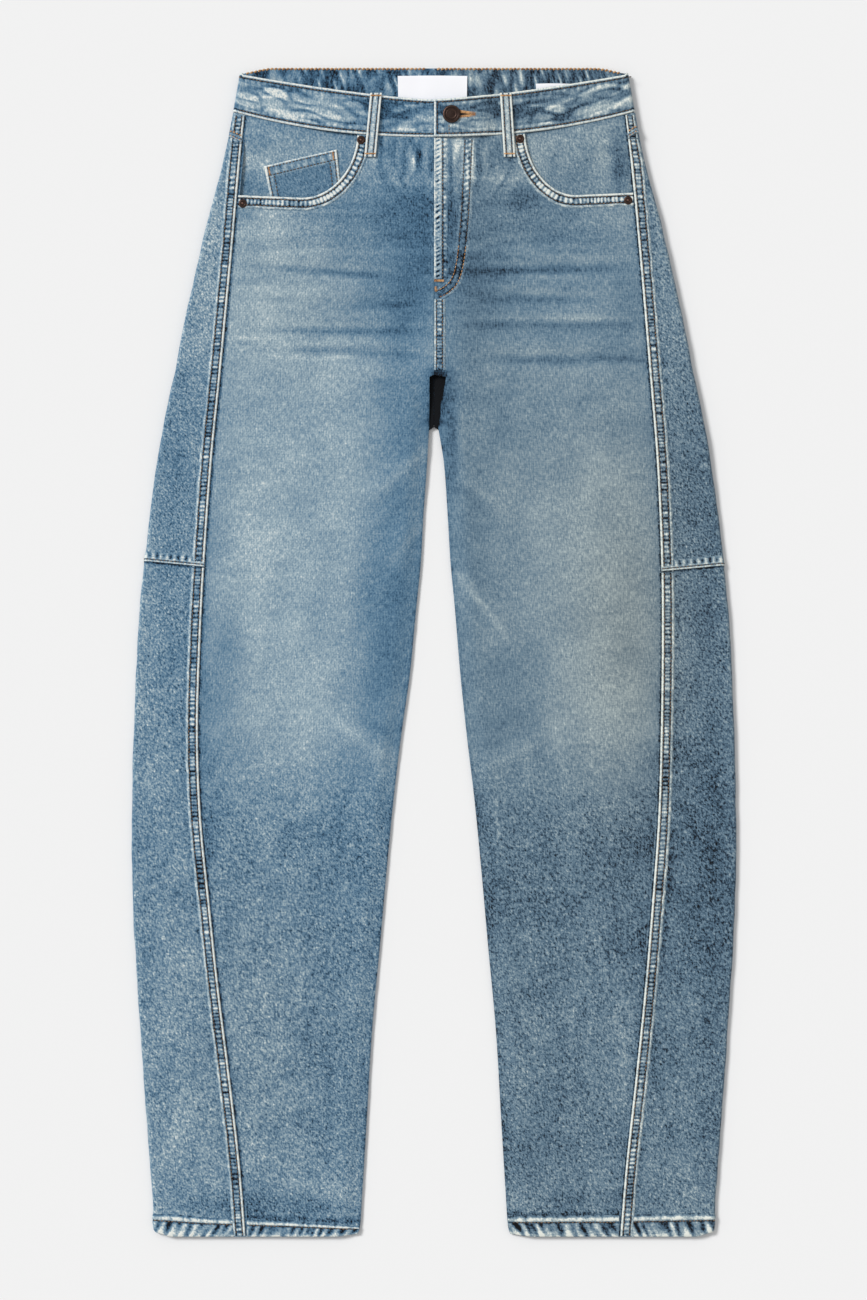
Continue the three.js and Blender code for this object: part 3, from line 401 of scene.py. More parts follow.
def spots(rows, x, y, tail):
    total = np.zeros(np.broadcast(x, y).shape)
    for cx, cy, half_a, half_b, turn, amount in rows:
        c, s = math.cos(math.radians(turn)), math.sin(math.radians(turn))
        a, b = ((x - cx) * c + (y - cy) * s) / half_a, ((y - cy) * c - (x - cx) * s) / half_b
        total += amount * np.exp(-(np.abs(a) ** tail)) * np.exp(-(b ** 2))
    return total


def leg_wear_and_shade(side, x, y):
    """How worn the upper face is, at x out from the centre line, with painted shade in it: along the inner
    edge, round the crotch, beside the front loops, and where the left leg is darker.
    """
    sx = x * side["sign"]
    tone = np.interp(y, TONE_Y, TONE[side["name"]])
    tone = tone + spots(FADES_AND_SHADE, sx, y, 2) + 1.6 * spots(WHISKERS, sx, y, 4)
    for streaks in (HIP_STREAKS, SHIN_STREAKS, GATHERS):
        tone = tone + spots(streaks, sx, y, 2)
    tone += 0.036 * waves(sx, y, 46, 41) + 0.022 * waves(sx, y, 15, 42)
    tone += 0.12 * drape(side, x, y) + 0.05 * crease_height(CREASES, side, x, y)
    off_inner = x - inner_x(side, y)
    marks = np.clip(ripples(y, 19, 51 + side["sign"]) - 0.25, 0, 1)
    below = 1 - smoothstep(y, 200, 240)
    tone -= below * INSEAM_MARKS[side["name"]] * marks * np.exp(-((off_inner / 5) ** 2))
    # Painted shade: a narrow dark line along the inner edge
    tone -= 0.1 * np.exp(-((off_inner / 2.2) ** 2)) * below
    # Painted shade round the crotch, darkest at the inner edge
    crotch = smoothstep(y, 188, 215) * (1 - smoothstep(y, 252, 266))
    tone -= 0.24 * np.exp(-off_inner / 6) * crotch
    return tone


def under_wear(side, x, y):
    """The same for the back of the trousers: a pale seat, and darker hollows behind the knees."""
    sx = x * side["sign"]
    seat = 0.14 * np.exp(-(((x - 95) / 60) ** 2) - ((y - 300) / 110) ** 2)
    calf = -0.06 * np.exp(-(((x - 150) / 60) ** 2) - ((y - 40) / 60) ** 2)
    tone = 0.5 + seat + calf + 0.04 * waves(sx, y, 50, 61) + 0.03 * waves(sx, y, 16, 62)
    return tone - 0.12 * np.exp(-(((x - back_inner_x(side, y)) / 4) ** 2))


# x, y, half width, half height, turn, how much greyer
GREY_PLACES = [
    (175, 20, 50, 150, 0, 0.28), (120, 330, 90, 90, 0, -0.1), (-120, 330, 90, 90, 0, 0.1),
    (-150, -360, 110, 190, 0, 0.14),
]


def grey_cast(x, y):
    """How far the blue has gone grey in the wash: more on the left leg than on the right one."""
    return 0.02 + 0.26 * smoothstep(x, -15, 40) + spots(GREY_PLACES, x, y, 2)


def wash_grain(side, x, y):
    """How coarse the speckle of the stone wash is: full on lower legs and sides, fine on the thighs."""
    sx = x * side["sign"]
    thigh = smoothstep(y, -170, -60) * (1 - 0.35 * smoothstep(y, 330, 420))
    side_strip = smoothstep(x - seam_x(side, y), 0, 1)
    return 1 - 0.7 * thigh * (1 - side_strip) + 0.08 * waves(sx, y, 60, 71)


print("tone in the middle of the thighs:", [round(float(leg_wear_and_shade(s, 120.0, 60.0)), 2) for s in BOTH])

# %% [markdown]
# ## Making cloth meshes
# A grid of points with a second grid one thickness below it, joined round the rim, makes a closed wall of
# cloth. Narrow things such as a felled band need finer steps than a whole panel, so they are ribbons of
# their own in the same mesh, with their edges sunk into the panel, as the second fold of a real seam lies
# on the first.

# %% Walls, ribbons and joining them into a piece
def grid_faces(rows, columns, start=0):
    r, c = np.meshgrid(np.arange(rows - 1), np.arange(columns - 1), indexing="ij")
    a = (r * columns + c + start).ravel()
    return np.stack([a, a + 1, a + 1 + columns, a + columns], axis=1)


def facing_out(points, faces):
    """The faces, turned round if they enclose a negative volume."""
    volume = 0.0
    for k in range(1, faces.shape[1] - 1):
        a, b, c = points[faces[:, 0]], points[faces[:, k]], points[faces[:, k + 1]]
        volume += (a * np.cross(b, c)).sum()
    return faces if volume > 0 else faces[:, ::-1]


def wall(outer, inner, wear_and_shade, grain, uv, inner_wear_and_shade=None):
    """A closed wall of cloth between two grids of points of the same size."""
    rows, columns = outer.shape[:2]
    count = rows * columns
    points = np.concatenate([outer.reshape(-1, 3), inner.reshape(-1, 3)])
    around = [c for c in range(columns - 1)] + [r * columns + columns - 1 for r in range(rows - 1)]
    around += [(rows - 1) * columns + c for c in range(columns - 1, 0, -1)]
    around += [r * columns for r in range(rows - 1, 0, -1)]
    here, there = np.array(around), np.roll(np.array(around), -1)
    rim = np.stack([here, here + count, there + count, there], axis=1)
    faces = np.concatenate([grid_faces(rows, columns), grid_faces(rows, columns, count)[:, ::-1], rim])
    # The inner face's tone, given or mid tone. Below the crotch it is painted shade.
    hidden = np.full(count, 0.45) if inner_wear_and_shade is None else inner_wear_and_shade.ravel()
    return {
        "points": points,
        "faces": [facing_out(points, faces)],
        "wear_and_shade": np.concatenate([np.broadcast_to(wear_and_shade, (rows, columns)).ravel(), hidden]),
        "grain": np.tile(np.broadcast_to(grain, (rows, columns)).ravel(), 2),
        "uv": np.tile(uv.reshape(-1, 2), (2, 1)),
    }


SUNK_SHADE = 0.1  # painted shade: the sides where a strip's edges go into the cloth are dark, a shadow line beside it


def ribbon(surface, a, b, height, wear_and_shade, grain=0.7, sink=0.5):
    """A closed strip lying on a surface. a and b say where on it, and height how far it stands proud."""
    points, normal = surface(a, b)
    body = points + normal * height[..., None]
    low_a, low_b = points[:, :1] - normal[:, :1] * sink, points[:, -1:] - normal[:, -1:] * sink
    loops = np.concatenate([low_a, body, low_b], axis=1)
    rows, columns = loops.shape[:2]
    index = np.arange(rows * columns).reshape(rows, columns)
    after = np.roll(index, -1, axis=1)
    sides = np.stack([index[:-1], after[:-1], after[1:], index[1:]], axis=-1).reshape(-1, 4)
    flat = loops.reshape(-1, 3)
    turned = facing_out(flat, sides)
    ends = np.array([index[0][::-1], index[-1]])
    if turned is not sides:
        ends = ends[:, ::-1]
    pad = np.pad(np.broadcast_to(wear_and_shade, body.shape[:2]), ((0, 0), (1, 1)), constant_values=SUNK_SHADE)
    run = run_along(np.linalg.norm(np.diff(body[:, 0], axis=0), axis=1))
    span = run_along(np.linalg.norm(np.diff(body[0], axis=0), axis=1))
    uv = np.stack(np.meshgrid(np.pad(span, 1, mode="edge"), run), axis=-1)
    return {
        "points": flat,
        "faces": [turned, ends],
        "wear_and_shade": pad.ravel(),
        "grain": np.full(rows * columns, grain),
        "uv": uv.reshape(-1, 2),
    }


def make_piece(name, parts, material, sharp=50):
    """Joins parts into one mesh, in metres, and stores its worn tone with painted shade in it, its grain
    and its pattern place.
    """
    points = np.concatenate([p["points"] for p in parts]) * MM
    faces, start = [], 0
    for part in parts:
        for block in part["faces"]:
            faces += (block + start).tolist()
        start += len(part["points"])
    mesh = bpy.data.meshes.new(name)
    mesh.from_pydata(points.tolist(), [], faces)
    if "wear_and_shade" in parts[0]:
        values = {key: np.concatenate([p[key] for p in parts]) for key in ("wear_and_shade", "grain")}
        values["cast"] = grey_cast(points[:, 0] / MM, points[:, 1] / MM)
        for key, value in values.items():
            mesh.attributes.new(key, "FLOAT", "POINT").data.foreach_set("value", value.astype(np.float32))
    if "uv" in parts[0]:
        uv = np.concatenate([p["uv"] for p in parts]) * MM
        corner = np.empty(len(mesh.loops), dtype=np.int32)
        mesh.loops.foreach_get("vertex_index", corner)
        mesh.uv_layers.new(name="pattern").data.foreach_set("uv", uv[corner].astype(np.float32).ravel())
    mesh.polygons.foreach_set("use_smooth", np.ones(len(mesh.polygons), dtype=bool))
    mesh.set_sharp_from_angle(angle=math.radians(sharp))
    mesh.materials.append(material)
    piece = bpy.data.objects.new(name, mesh)
    bpy.context.scene.collection.objects.link(piece)
    mesh.calc_loop_triangles()
    print(f"{name}: {len(mesh.loop_triangles)} triangles")
    return piece


def dress(piece, node):
    """The piece rides with the trousers and stands for the solid of the same name."""
    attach(piece, "root")
    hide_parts(node)
    return piece


print("denim wall:", WALL, "mm, and folded in the waistband:", BAND_WALL, "mm")

# %% [markdown]
# ## Threads
# Topstitching is the drawing on a pair of jeans. Each stitch is a short bead of thick thread that dips into
# the cloth at both ends. One small bead of ten points is placed again and again along a line, so a row of
# hundreds costs little. Tacks are the same bead, laid side by side and close together.

# %% Stitches along a line
BEAD_RINGS = ((-0.32, 0.85), (0.32, 0.85))
threads = {"brown": [], "gold": []}
BEAD_FACES = np.array(
    [[0, 1 + k, 1 + (k + 1) % 4] for k in range(4)] + [[9, 5 + (k + 1) % 4, 5 + k] for k in range(4)]
)
BEAD_SIDES = np.array([[1 + k, 5 + k, 5 + (k + 1) % 4, 1 + (k + 1) % 4] for k in range(4)])


def beads(colour, centres, along, normals, length, thick):
    """Adds one bead of thread at each centre, lying along its direction."""
    along = along / np.linalg.norm(along, axis=1, keepdims=True)
    across = np.cross(normals, along)
    local = [(-0.5, 0, -0.45)]
    quarters = [k * math.pi / 2 for k in range(4)]
    for ring, full in BEAD_RINGS:
        local += [(ring, full * math.cos(turn), full * math.sin(turn)) for turn in quarters]
    local.append((0.5, 0, -0.45))
    local = np.array(local) * (length, thick / 2, thick / 2)
    points = (
        centres[:, None]
        + local[None, :, :1] * along[:, None]
        + local[None, :, 1:2] * across[:, None]
        + local[None, :, 2:] * normals[:, None]
    )
    count = len(local)
    starts = (np.arange(len(centres)) * count)[:, None, None]
    tips = (BEAD_FACES[None] + starts).reshape(-1, 3)
    sides = (BEAD_SIDES[None] + starts).reshape(-1, 4)
    flat = points.reshape(-1, 3)
    turned = facing_out(flat, sides)
    threads[colour].append(
        {"points": flat, "faces": [turned, tips if turned is sides else tips[:, ::-1]]}
    )


def stitch_row(colour, surface, a, b, lift, pitch=3.1, share=0.78, thick=1.0):
    """A row of stitches along a line on a surface. lift is how far the row stands off that surface."""
    points, normal = surface(np.asarray(a, float), np.asarray(b, float))
    points = points + normal * (np.zeros(len(points)) + lift)[:, None]
    run = run_along(np.linalg.norm(np.diff(points, axis=0), axis=1))
    at = np.arange(pitch * 0.6, run[-1] - pitch * 0.4, pitch)

    def read(table, where):
        return np.stack([np.interp(where, run, table[:, k]) for k in range(3)], axis=1)

    facing = read(normal, at)
    facing = facing / np.linalg.norm(facing, axis=1, keepdims=True)
    step = read(points, at + 0.5) - read(points, at - 0.5)
    beads(colour, read(points, at), step, facing, pitch * share, thick)


def tack(colour, surface, a, b, width, turn, length=7, lift=0.9):
    """A bar tack: beads side by side, width wide, in a bar of that length turned from the a axis."""
    count = int(length / 0.62)
    c, s = math.cos(math.radians(turn)), math.sin(math.radians(turn))
    shift = (np.arange(count) / (count - 1) - 0.5) * length
    points, normal = surface(a + shift * c, b + shift * s)
    lean = np.where(np.arange(count) % 2 == 0, 0.22, -0.22)
    across = np.stack([-s + lean * c, c + lean * s, 0 * lean], axis=1)
    if points[-1, 0] < points[0, 0] and c > 0.1:
        across[:, 0] *= -1
    beads(colour, points + normal * lift, across, normal, width, 0.75)


def offset_line(a, b, t):
    """Lines beside a line: every distance t from every point, to its left as it runs."""
    da, db = np.gradient(a), np.gradient(b)
    size = np.hypot(da, db)
    return a[:, None] - (db / size)[:, None] * t, b[:, None] + (da / size)[:, None] * t


print("triangles in a stitch:", len(BEAD_FACES) + 2 * len(BEAD_SIDES))

# %% [markdown]
# ## Felled seams
# Both edges are folded into each other and sewn down with two rows. The wash rubs the raised fold white,
# leaves the thread's grooves dark, and makes rungs between the rows where the cloth is drawn up.

# %% The profile of a felled band, from its folded edge outwards
FELL_T = np.array([
    0, 0.25, 0.7, 1.3, 1.8, 2.1, 2.45, 2.8, 3.2, 3.9, 4.8, 5.7, 6.6, 7.4, 7.9, 8.3, 8.7, 9.1, 9.6, 10.2,
    10.8, 11.6,
])
FELL_HEIGHT = np.array([
    0.15, 0.8, 1.1, 1.12, 1.0, 0.6, 0.38, 0.6, 0.78, 0.82, 0.8, 0.8, 0.8, 0.72, 0.55, 0.32, 0.5, 0.7,
    0.78, 0.7, 0.4, 0.04,
])
FELL_WEAR = np.array([
    0.7, 0.98, 1.04, 1.02, 0.86, 0.3, 0.04, 0.1, 0.36, 0.5, 0.52, 0.52, 0.5, 0.34, 0.1, 0.02, 0.14, 0.62,
    0.82, 0.8, 0.66, 0.5,
])
FELL_ROWS = (2.45, 8.3)
# In front of the folded edge the cloth is drawn in, and its dark tone there is a painted shadow of the edge
DRAWN_T, DRAWN_HEIGHT = [-2.4, -1.3, -0.6, -0.15], [0.1, 0.18, 0.2, 0.16]
DRAWN_SHADOW = [0.44, 0.24, 0.06, 0.06]
RUNG_PITCH = 3.6


def rungs(run, t, low, high, seed):
    """The ladder between two rows of stitches: about -1 to 1, uneven, and 0 outside the rows."""
    run = run[:, None]
    phase = run / RUNG_PITCH + 0.9 * ripples(run, 40, seed)
    between = smoothstep(t, low, low + 0.9) * (1 - smoothstep(t, high - 0.9, high))
    uneven = 0.7 * ripples(run, 9, seed + 2) + 0.5 * waves(run, 2 * t, 6, seed + 3)
    strength = 0.75 + 0.3 * ripples(run, 21, seed + 4)
    return (strength * np.clip(1.6 * np.sin(2 * math.pi * phase), -1, 1) + uneven) * between


def felled_band(surface, a, b, seed, width=1.0, wear_and_shade=0.0, ladder_by=0.32, rub=1.0, drawn=False):
    """A felled band along a line, growing to the left of it, with both rows of stitches on it."""
    run = run_along(np.hypot(np.diff(a), np.diff(b)))
    width = np.broadcast_to(width, a.shape)[:, None]
    wobble = 0.35 * ripples(run, 16, seed + 5)[:, None] * smoothstep(FELL_T, 5, 10)
    grid_a, grid_b = offset_line(a, b, (FELL_T + wobble) * width)
    ladder = rungs(run, FELL_T, *FELL_ROWS, seed)
    uneven = ripples(run, 11, seed + 1)[:, None]
    middle = smoothstep(FELL_T, 3, 4) * (1 - smoothstep(FELL_T, 6.8, 7.8))
    height = FELL_HEIGHT + 0.16 * ladder + 0.05 * uneven
    slow = ripples(run, 55, seed + 6)[:, None]
    tone = lerp(0.5, FELL_WEAR, rub) + ladder_by * ladder + 0.12 * uneven + (wear_and_shade + 0.2 * slow) * middle
    for row in FELL_ROWS:
        line_a, line_b = offset_line(a, b, row * width)
        stitch_row("brown", surface, line_a[:, 0], line_b[:, 0], 0.75, share=0.72, thick=1.35)
    # With drawn, a strip in front of the folded edge is added, coloured as the edge's painted shadow
    if drawn:
        front_a, front_b = offset_line(a, b, np.array(DRAWN_T)[None, :])
        grid_a, grid_b = np.hstack([front_a, grid_a]), np.hstack([front_b, grid_b])
        height = np.hstack([np.tile(DRAWN_HEIGHT, (len(a), 1)), height])
        tone = np.hstack([DRAWN_SHADOW + 0.1 * uneven, tone])
    return ribbon(surface, grid_a, grid_b, np.maximum(height, 0.02), tone)


print("felled band:", FELL_T[-1], "mm wide, its rows", round(FELL_ROWS[1] - FELL_ROWS[0], 2), "mm apart")

# %% [markdown]
# ## Materials
# Denim is a cotton twill of blue warp over white weft, here stone washed: matt, with a faint fuzz that
# catches light at a grazing angle. The eye reads it by three things: the wear, the speckle that the stones
# leave, and the uneven slub yarns. The real twill has about 25 ribs in 25 mm, too fine for this picture,
# so it is drawn at 1.6 mm and only as a soft bump.

# %% Colours and the helper that adds a node
def linear(code):
    """A colour written as sRGB hex, as the linear values that a shader takes."""
    srgb = [int(code[k:k + 2], 16) / 255 for k in (1, 3, 5)]
    return [c / 12.92 if c <= 0.04045 else ((c + 0.055) / 1.055) ** 2.4 for c in srgb] + [1.0]


def node(tree, kind, settings=None, **inputs):
    """Adds a shader node and fills its sockets, by name or as n0, n1, from values or links."""
    made = tree.nodes.new("ShaderNode" + kind)
    for key, value in (settings or {}).items():
        setattr(made, key, value)
    for key, value in inputs.items():
        socket = made.inputs[int(key[1:]) if key[0] == "n" and key[1:].isdigit() else key.replace("_", " ")]
        if isinstance(value, bpy.types.NodeSocket):
            tree.links.new(value, socket)
        else:
            socket.default_value = value
    return made


def new_material(name):
    """An empty material with an output. Returns it, its tree and its surface socket."""
    material = bpy.data.materials.new(name)
    material.use_nodes = True
    tree = material.node_tree
    tree.nodes.clear()
    return material, tree, tree.nodes.new("ShaderNodeOutputMaterial").inputs["Surface"]


def ramp(tree, factor, stops):
    """A colour ramp through hex colours at their positions."""
    made = node(tree, "ValToRGB", Fac=factor)
    elements = made.color_ramp.elements
    while len(elements) < len(stops):
        elements.new(0.5)
    for element, (position, code) in zip(elements, stops):
        element.position, element.color = position, linear(code)
    return made.outputs["Color"]


print("unworn indigo, linear:", [round(c, 4) for c in linear("#05080E")])

# %% Stone-washed indigo denim
# The two darkest stops, near black, are there for painted shade: the inside of the back where it shows
# below the crotch. The grooves of the rows reach them too.
INDIGO = [
    (0.0, "#05080E"), (0.06, "#0E1D2D"), (0.17, "#26465F"), (0.33, "#466A86"), (0.48, "#5F8098"),
    (0.6, "#7891A3"), (0.75, "#95AAB5"), (0.88, "#B6C4C9"), (1.0, "#E2E4DE"),
]
SPECKLE_MM, BLOTCH_MM, RIB_MM = 1.9, 9, 1.6
TWILL_TURN, TWILL_STRETCH = -50, (1.3, 0.82, 1)  # the speckle is drawn out along the twill
SLUB_MM = (1.25, 5.5)  # across and along a slub. Real yarns are 0.5 mm thick, too fine to show


def denim(name, speckle, slub):
    """Denim with that much speckle from the stones and that much slub from the yarn."""
    material, tree, surface = new_material(name)
    place_node = node(tree, "TexCoord")
    pattern = node(tree, "UVMap", {"uv_map": "pattern"}).outputs["UV"]
    # This attribute holds how worn the cloth is and the painted shade together: shadows beside seams, laps
    # and loops, and the near black inside below the crotch.
    wear_and_shade = node(tree, "Attribute", {"attribute_name": "wear_and_shade"}).outputs["Fac"]
    grain = node(tree, "Attribute", {"attribute_name": "grain"}).outputs["Fac"]

    def noise(vector, size, detail, rough=0.6):
        made = node(tree, "TexNoise", Vector=vector, Scale=1000 / size)
        made.inputs["Detail"].default_value = detail
        made.inputs["Roughness"].default_value = rough
        return made.outputs["Fac"]

    def maths(kind, a, b, c=None):
        extra = {} if c is None else {"n2": c}
        return node(tree, "Math", {"operation": kind}, n0=a, n1=b, **extra).outputs[0]

    def threads_along(x_mm, y_mm):
        scale = (1 / x_mm, 1 / y_mm, 1)
        vector = node(tree, "Mapping", Vector=pattern, Scale=scale).outputs["Vector"]
        return noise(vector, 1, 1.5)

    object_place = place_node.outputs["Object"]
    twill = node(
        tree, "Mapping", {"vector_type": "TEXTURE"}, Vector=object_place,
        Rotation=(0, 0, math.radians(TWILL_TURN)), Scale=TWILL_STRETCH,
    ).outputs["Vector"]
    stones = maths("SUBTRACT", noise(twill, SPECKLE_MM, 3, 0.7), 0.5)
    stones = maths("MULTIPLY", stones, maths("MULTIPLY", grain, speckle))
    blotch = maths("MULTIPLY", maths("SUBTRACT", noise(object_place, BLOTCH_MM, 2), 0.5), 0.1)
    warp = threads_along(SLUB_MM[0], SLUB_MM[1])
    weft = threads_along(SLUB_MM[1], SLUB_MM[0])
    yarn = maths("SUBTRACT", maths("ADD", warp, maths("MULTIPLY", weft, 0.5)), 0.75)
    yarn = maths("MULTIPLY", yarn, slub)
    worn = maths("ADD", maths("ADD", wear_and_shade, stones), maths("ADD", blotch, yarn))
    colour = ramp(tree, worn, INDIGO)
    cast = node(tree, "Attribute", {"attribute_name": "cast"}).outputs["Fac"]
    grey = node(tree, "RGBToBW", Color=colour).outputs[0]
    tinted = {"data_type": "RGBA", "blend_type": "MULTIPLY"}
    grey = node(tree, "Mix", tinted, n0=1.0, n6=grey, n7=linear("#F8FFF0")).outputs[2]
    colour = node(tree, "Mix", {"data_type": "RGBA"}, n0=cast, n6=colour, n7=grey).outputs[2]
    ribs = node(
        tree, "TexWave", {"wave_type": "BANDS", "bands_direction": "DIAGONAL"},
        Vector=pattern, Scale=math.pi / 10 / (RIB_MM * MM), Distortion=1.5,
    ).outputs["Fac"]
    height = maths("ADD", maths("MULTIPLY", ribs, 0.35), maths("MULTIPLY", warp, 0.8))
    height = maths("ADD", height, maths("MULTIPLY", noise(object_place, 1.8, 2), 0.9))
    bump = node(tree, "Bump", Strength=0.55, Distance=0.00045, Height=height).outputs["Normal"]
    shader = node(
        tree, "BsdfPrincipled", Base_Color=colour, Roughness=0.92, Sheen_Weight=0.12,
        Sheen_Roughness=0.5, Normal=bump,
    )
    shader.inputs["Specular IOR Level"].default_value = 0.2
    tree.links.new(shader.outputs[0], surface)
    return material


stone_washed = denim("stone_washed_denim", 1.75, 0.62)
print("denim shades:", len(INDIGO))

# %% Spun polyester thread, brown and faded gold
def thread(name, pale, dark):
    """Corespun topstitching thread. It is smoother than the denim, and its two colours are its twist."""
    material, tree, surface = new_material(name)
    coordinate = node(tree, "TexCoord").outputs["Object"]
    twist = node(tree, "TexNoise", Vector=coordinate, Scale=1000 / 3, Detail=2.0).outputs["Fac"]
    colour = ramp(tree, twist, [(0.38, dark), (0.62, pale)])
    bump = node(tree, "Bump", Strength=0.4, Distance=0.0002, Height=twist).outputs["Normal"]
    shader = node(tree, "BsdfPrincipled", Base_Color=colour, Roughness=0.6, Normal=bump)
    shader.inputs["Sheen Weight"].default_value = 0.2
    tree.links.new(shader.outputs[0], surface)
    return material


brown_thread = thread("faded_brown_thread", "#7C6650", "#2C2520")
gold_thread = thread("gold_thread", "#D9AC78", "#A06C38")
print("threads:", brown_thread.name, "and", gold_thread.name)

# %% [markdown]
# ## Front legs
# Each front is one panel from the waist to the hem, with the curved mouth of the pocket cut out of its
# corner. The grid is bent to follow that curve, so the panel's own edge is the pocket's edge.

# %% The pocket mouth and the grid of a front
STEP = 2.9
POCKET_TURN = 0.45
LAST_LEVEL_ROW = 357


def pocket_mouth(side, share):
    """y of the pocket mouth, at a share of the way from its top corner to the side seam."""
    start = band_low(side["pocket_x"]) - SEAM_GAP
    level = 1 - np.clip(share / POCKET_TURN, 0, 1)
    run = np.clip((share - POCKET_TURN) / (1 - POCKET_TURN), 0, 1)
    return start - side["pocket_depth"] * (np.sqrt(1 - level ** 2) - 0.04 * run)


def front_columns(side):
    """Shares across the panel, close together at both edges and round the pocket's curve."""
    top_seam = float(seam_x(side, band_low(side["pocket_x"])))
    corner = side["pocket_x"] / top_seam
    inner = np.concatenate([[0, 0.25, 0.8, 1.7], np.arange(3.4, side["pocket_x"] - 1, STEP)]) / top_seam
    turn = POCKET_TURN * (1 - np.cos(np.linspace(0, math.pi / 2, 22)))
    run = np.linspace(POCKET_TURN, 1, 20)[1:]
    mouth = np.concatenate([turn, run])
    across = np.concatenate([inner, lerp(corner, 1, mouth)])
    return across, np.concatenate([np.full(len(inner), -1.0), mouth]), top_seam


def front_grid(side):
    across, mouth, top_seam = front_columns(side)
    across, mouth = across[None, :], mouth[None, :]
    low = np.sort(np.concatenate([np.arange(HEM_Y, LAST_LEVEL_ROW, STEP), np.arange(243, 255, 0.7)]))
    up = np.linspace(0, 1, 38)[1:]
    rows = np.concatenate([low, np.full(len(up) + 1, LAST_LEVEL_ROW)])[:, None]
    up = np.concatenate([np.zeros(len(low) + 1), up])[:, None]
    level_x = lerp(inner_x(side, rows), seam_x(side, rows) - SEAM_GAP, across)
    lifted = rows + (hem_y(level_x) - HEM_Y) * (1 - smoothstep(rows, HEM_RISE_FROM, HEM_RISE_TO))
    top = np.where(mouth > 0, pocket_mouth(side, mouth), band_low(across * top_seam) - SEAM_GAP)
    y = lerp(lifted, top, up)
    x = lerp(inner_x(side, y), seam_x(side, y) - SEAM_GAP, across)
    return x, y


def front_panel(side):
    x, y = front_grid(side)
    points, normal = top_surface(side, x, y)
    rolled = 0.55 * np.exp(-((x - inner_x(side, y)) / 0.7) ** 2) * (1 - smoothstep(y, 200, 250))
    rolled = rolled[..., None] * normal
    off_seam = seam_x(side, y) - x
    # Painted shadow: a narrow dark line beside the raised edge of the felled band
    tone = leg_wear_and_shade(side, x, y) - 0.16 * np.exp(-((off_seam / 2.4) ** 2))
    above_hem = (y - hem_row(side, x) - 6.5 - ripples(x, 22, 85)) / 2.6
    tone -= (0.3 + 0.15 * ripples(x, 12, 86)) * np.exp(-(above_hem ** 2))
    uv = np.stack([x, y], axis=-1)
    return wall(points - rolled, points - normal * WALL, tone, wash_grain(side, x, y), uv)


print("rows and columns of a front:", front_grid(LEFT)[0].shape)

# %% [markdown]
# ## Hems
# The hem is turned up twice and sewn with one row. Because its layers shrink unevenly, it ropes: slanted
# pale and dark stripes run across it. The row isn't level in either leg, so its height is read from a line.

# %% Hem ribbons
HEM_ROW = {
    "left": ([67, 164, 253], [-513.2, -512.8, -511.2]),
    "right": ([70, 130, 205, 252], [-519.4, -516.8, -514.2, -511]),
}
HEM_SHARE = np.array([
    0, 0.03, 0.1, 0.2, 0.32, 0.45, 0.58, 0.7, 0.77, 0.82, 0.86, 0.9, 0.95, 1.0, 1.07, 1.15, 1.25,
])
HEM_HEIGHT = np.array([
    0.1, 0.5, 0.75, 0.82, 0.8, 0.8, 0.78, 0.74, 0.62, 0.42, 0.4, 0.62, 0.95, 1.05, 0.9, 0.45, 0.05,
])
HEM_WEAR = np.array([
    0.84, 0.86, 0.8, 0.64, 0.5, 0.42, 0.4, 0.36, 0.28, 0.1, 0.12, 0.72, 0.92, 0.98, 0.88, 0.48, 0.26,
])


def hem_row(side, x):
    return np.interp(x, *HEM_ROW[side["name"]])


def hem_band(side, surface, x, along, low, row, seed):
    """The turned hem over x, from its low edge to just above its row. The surface reads (along, y)."""
    y = lerp(low[:, None], row[:, None], HEM_SHARE[None, :] / 0.84)
    run = np.broadcast_to(x[:, None], y.shape)
    slant = (run + 0.45 * (y - HEM_Y)) * 2 * math.pi / 8.8 + 5 * waves(run, y, 60, seed)
    blotchy = 0.9 * waves(run + 0.35 * y, 0.25 * y, 8, seed + 2)
    rope = (0.55 * np.sin(slant) + blotchy) * (1 - smoothstep(HEM_SHARE, 0.74, 0.84))
    ragged = 0.26 * ripples(run, 5, seed + 3) * smoothstep(HEM_SHARE, 0.84, 1)
    tone = HEM_WEAR + 0.48 * rope + 0.06 * waves(run, y, 9, seed + 1) + ragged
    height = np.maximum(HEM_HEIGHT + 0.14 * rope + 0.5 * ragged, 0.05)
    corner = 1 - smoothstep(run, inner_x(side, HEM_Y), inner_x(side, HEM_Y) + 14)
    grid = along[:, None] + corner * (inner_x(side, y) - inner_x(side, HEM_Y))
    stitch_row("brown", surface, along, row, 0.7, share=0.72, thick=1.3)
    return ribbon(surface, grid, y, height, tone)


def on_top(side):
    return lambda x, y: top_surface(side, x, y)


def on_wrap(side):
    return lambda w, y: wrap_surface(side, w, y)


def front_hem(side):
    x = np.arange(inner_x(side, HEM_Y) + 0.4, seam_x(side, HEM_Y) - 0.5, 1.0)
    return hem_band(side, on_top(side), x, x, hem_y(x) + 0.1, hem_row(side, x), 80 + side["sign"])


print("row of the left hem above its edge:", round(float(hem_row(LEFT, 164) - hem_y(164)), 1), "mm")

# %% [markdown]
# ## Pocket mouths, fly and rise
# The mouth of each pocket is bound with a turned edge and two rows. The left front carries the fly: a
# folded edge at the centre, a curved pair of rows that holds the zip, and below it the rise seam, down to
# the crotch.

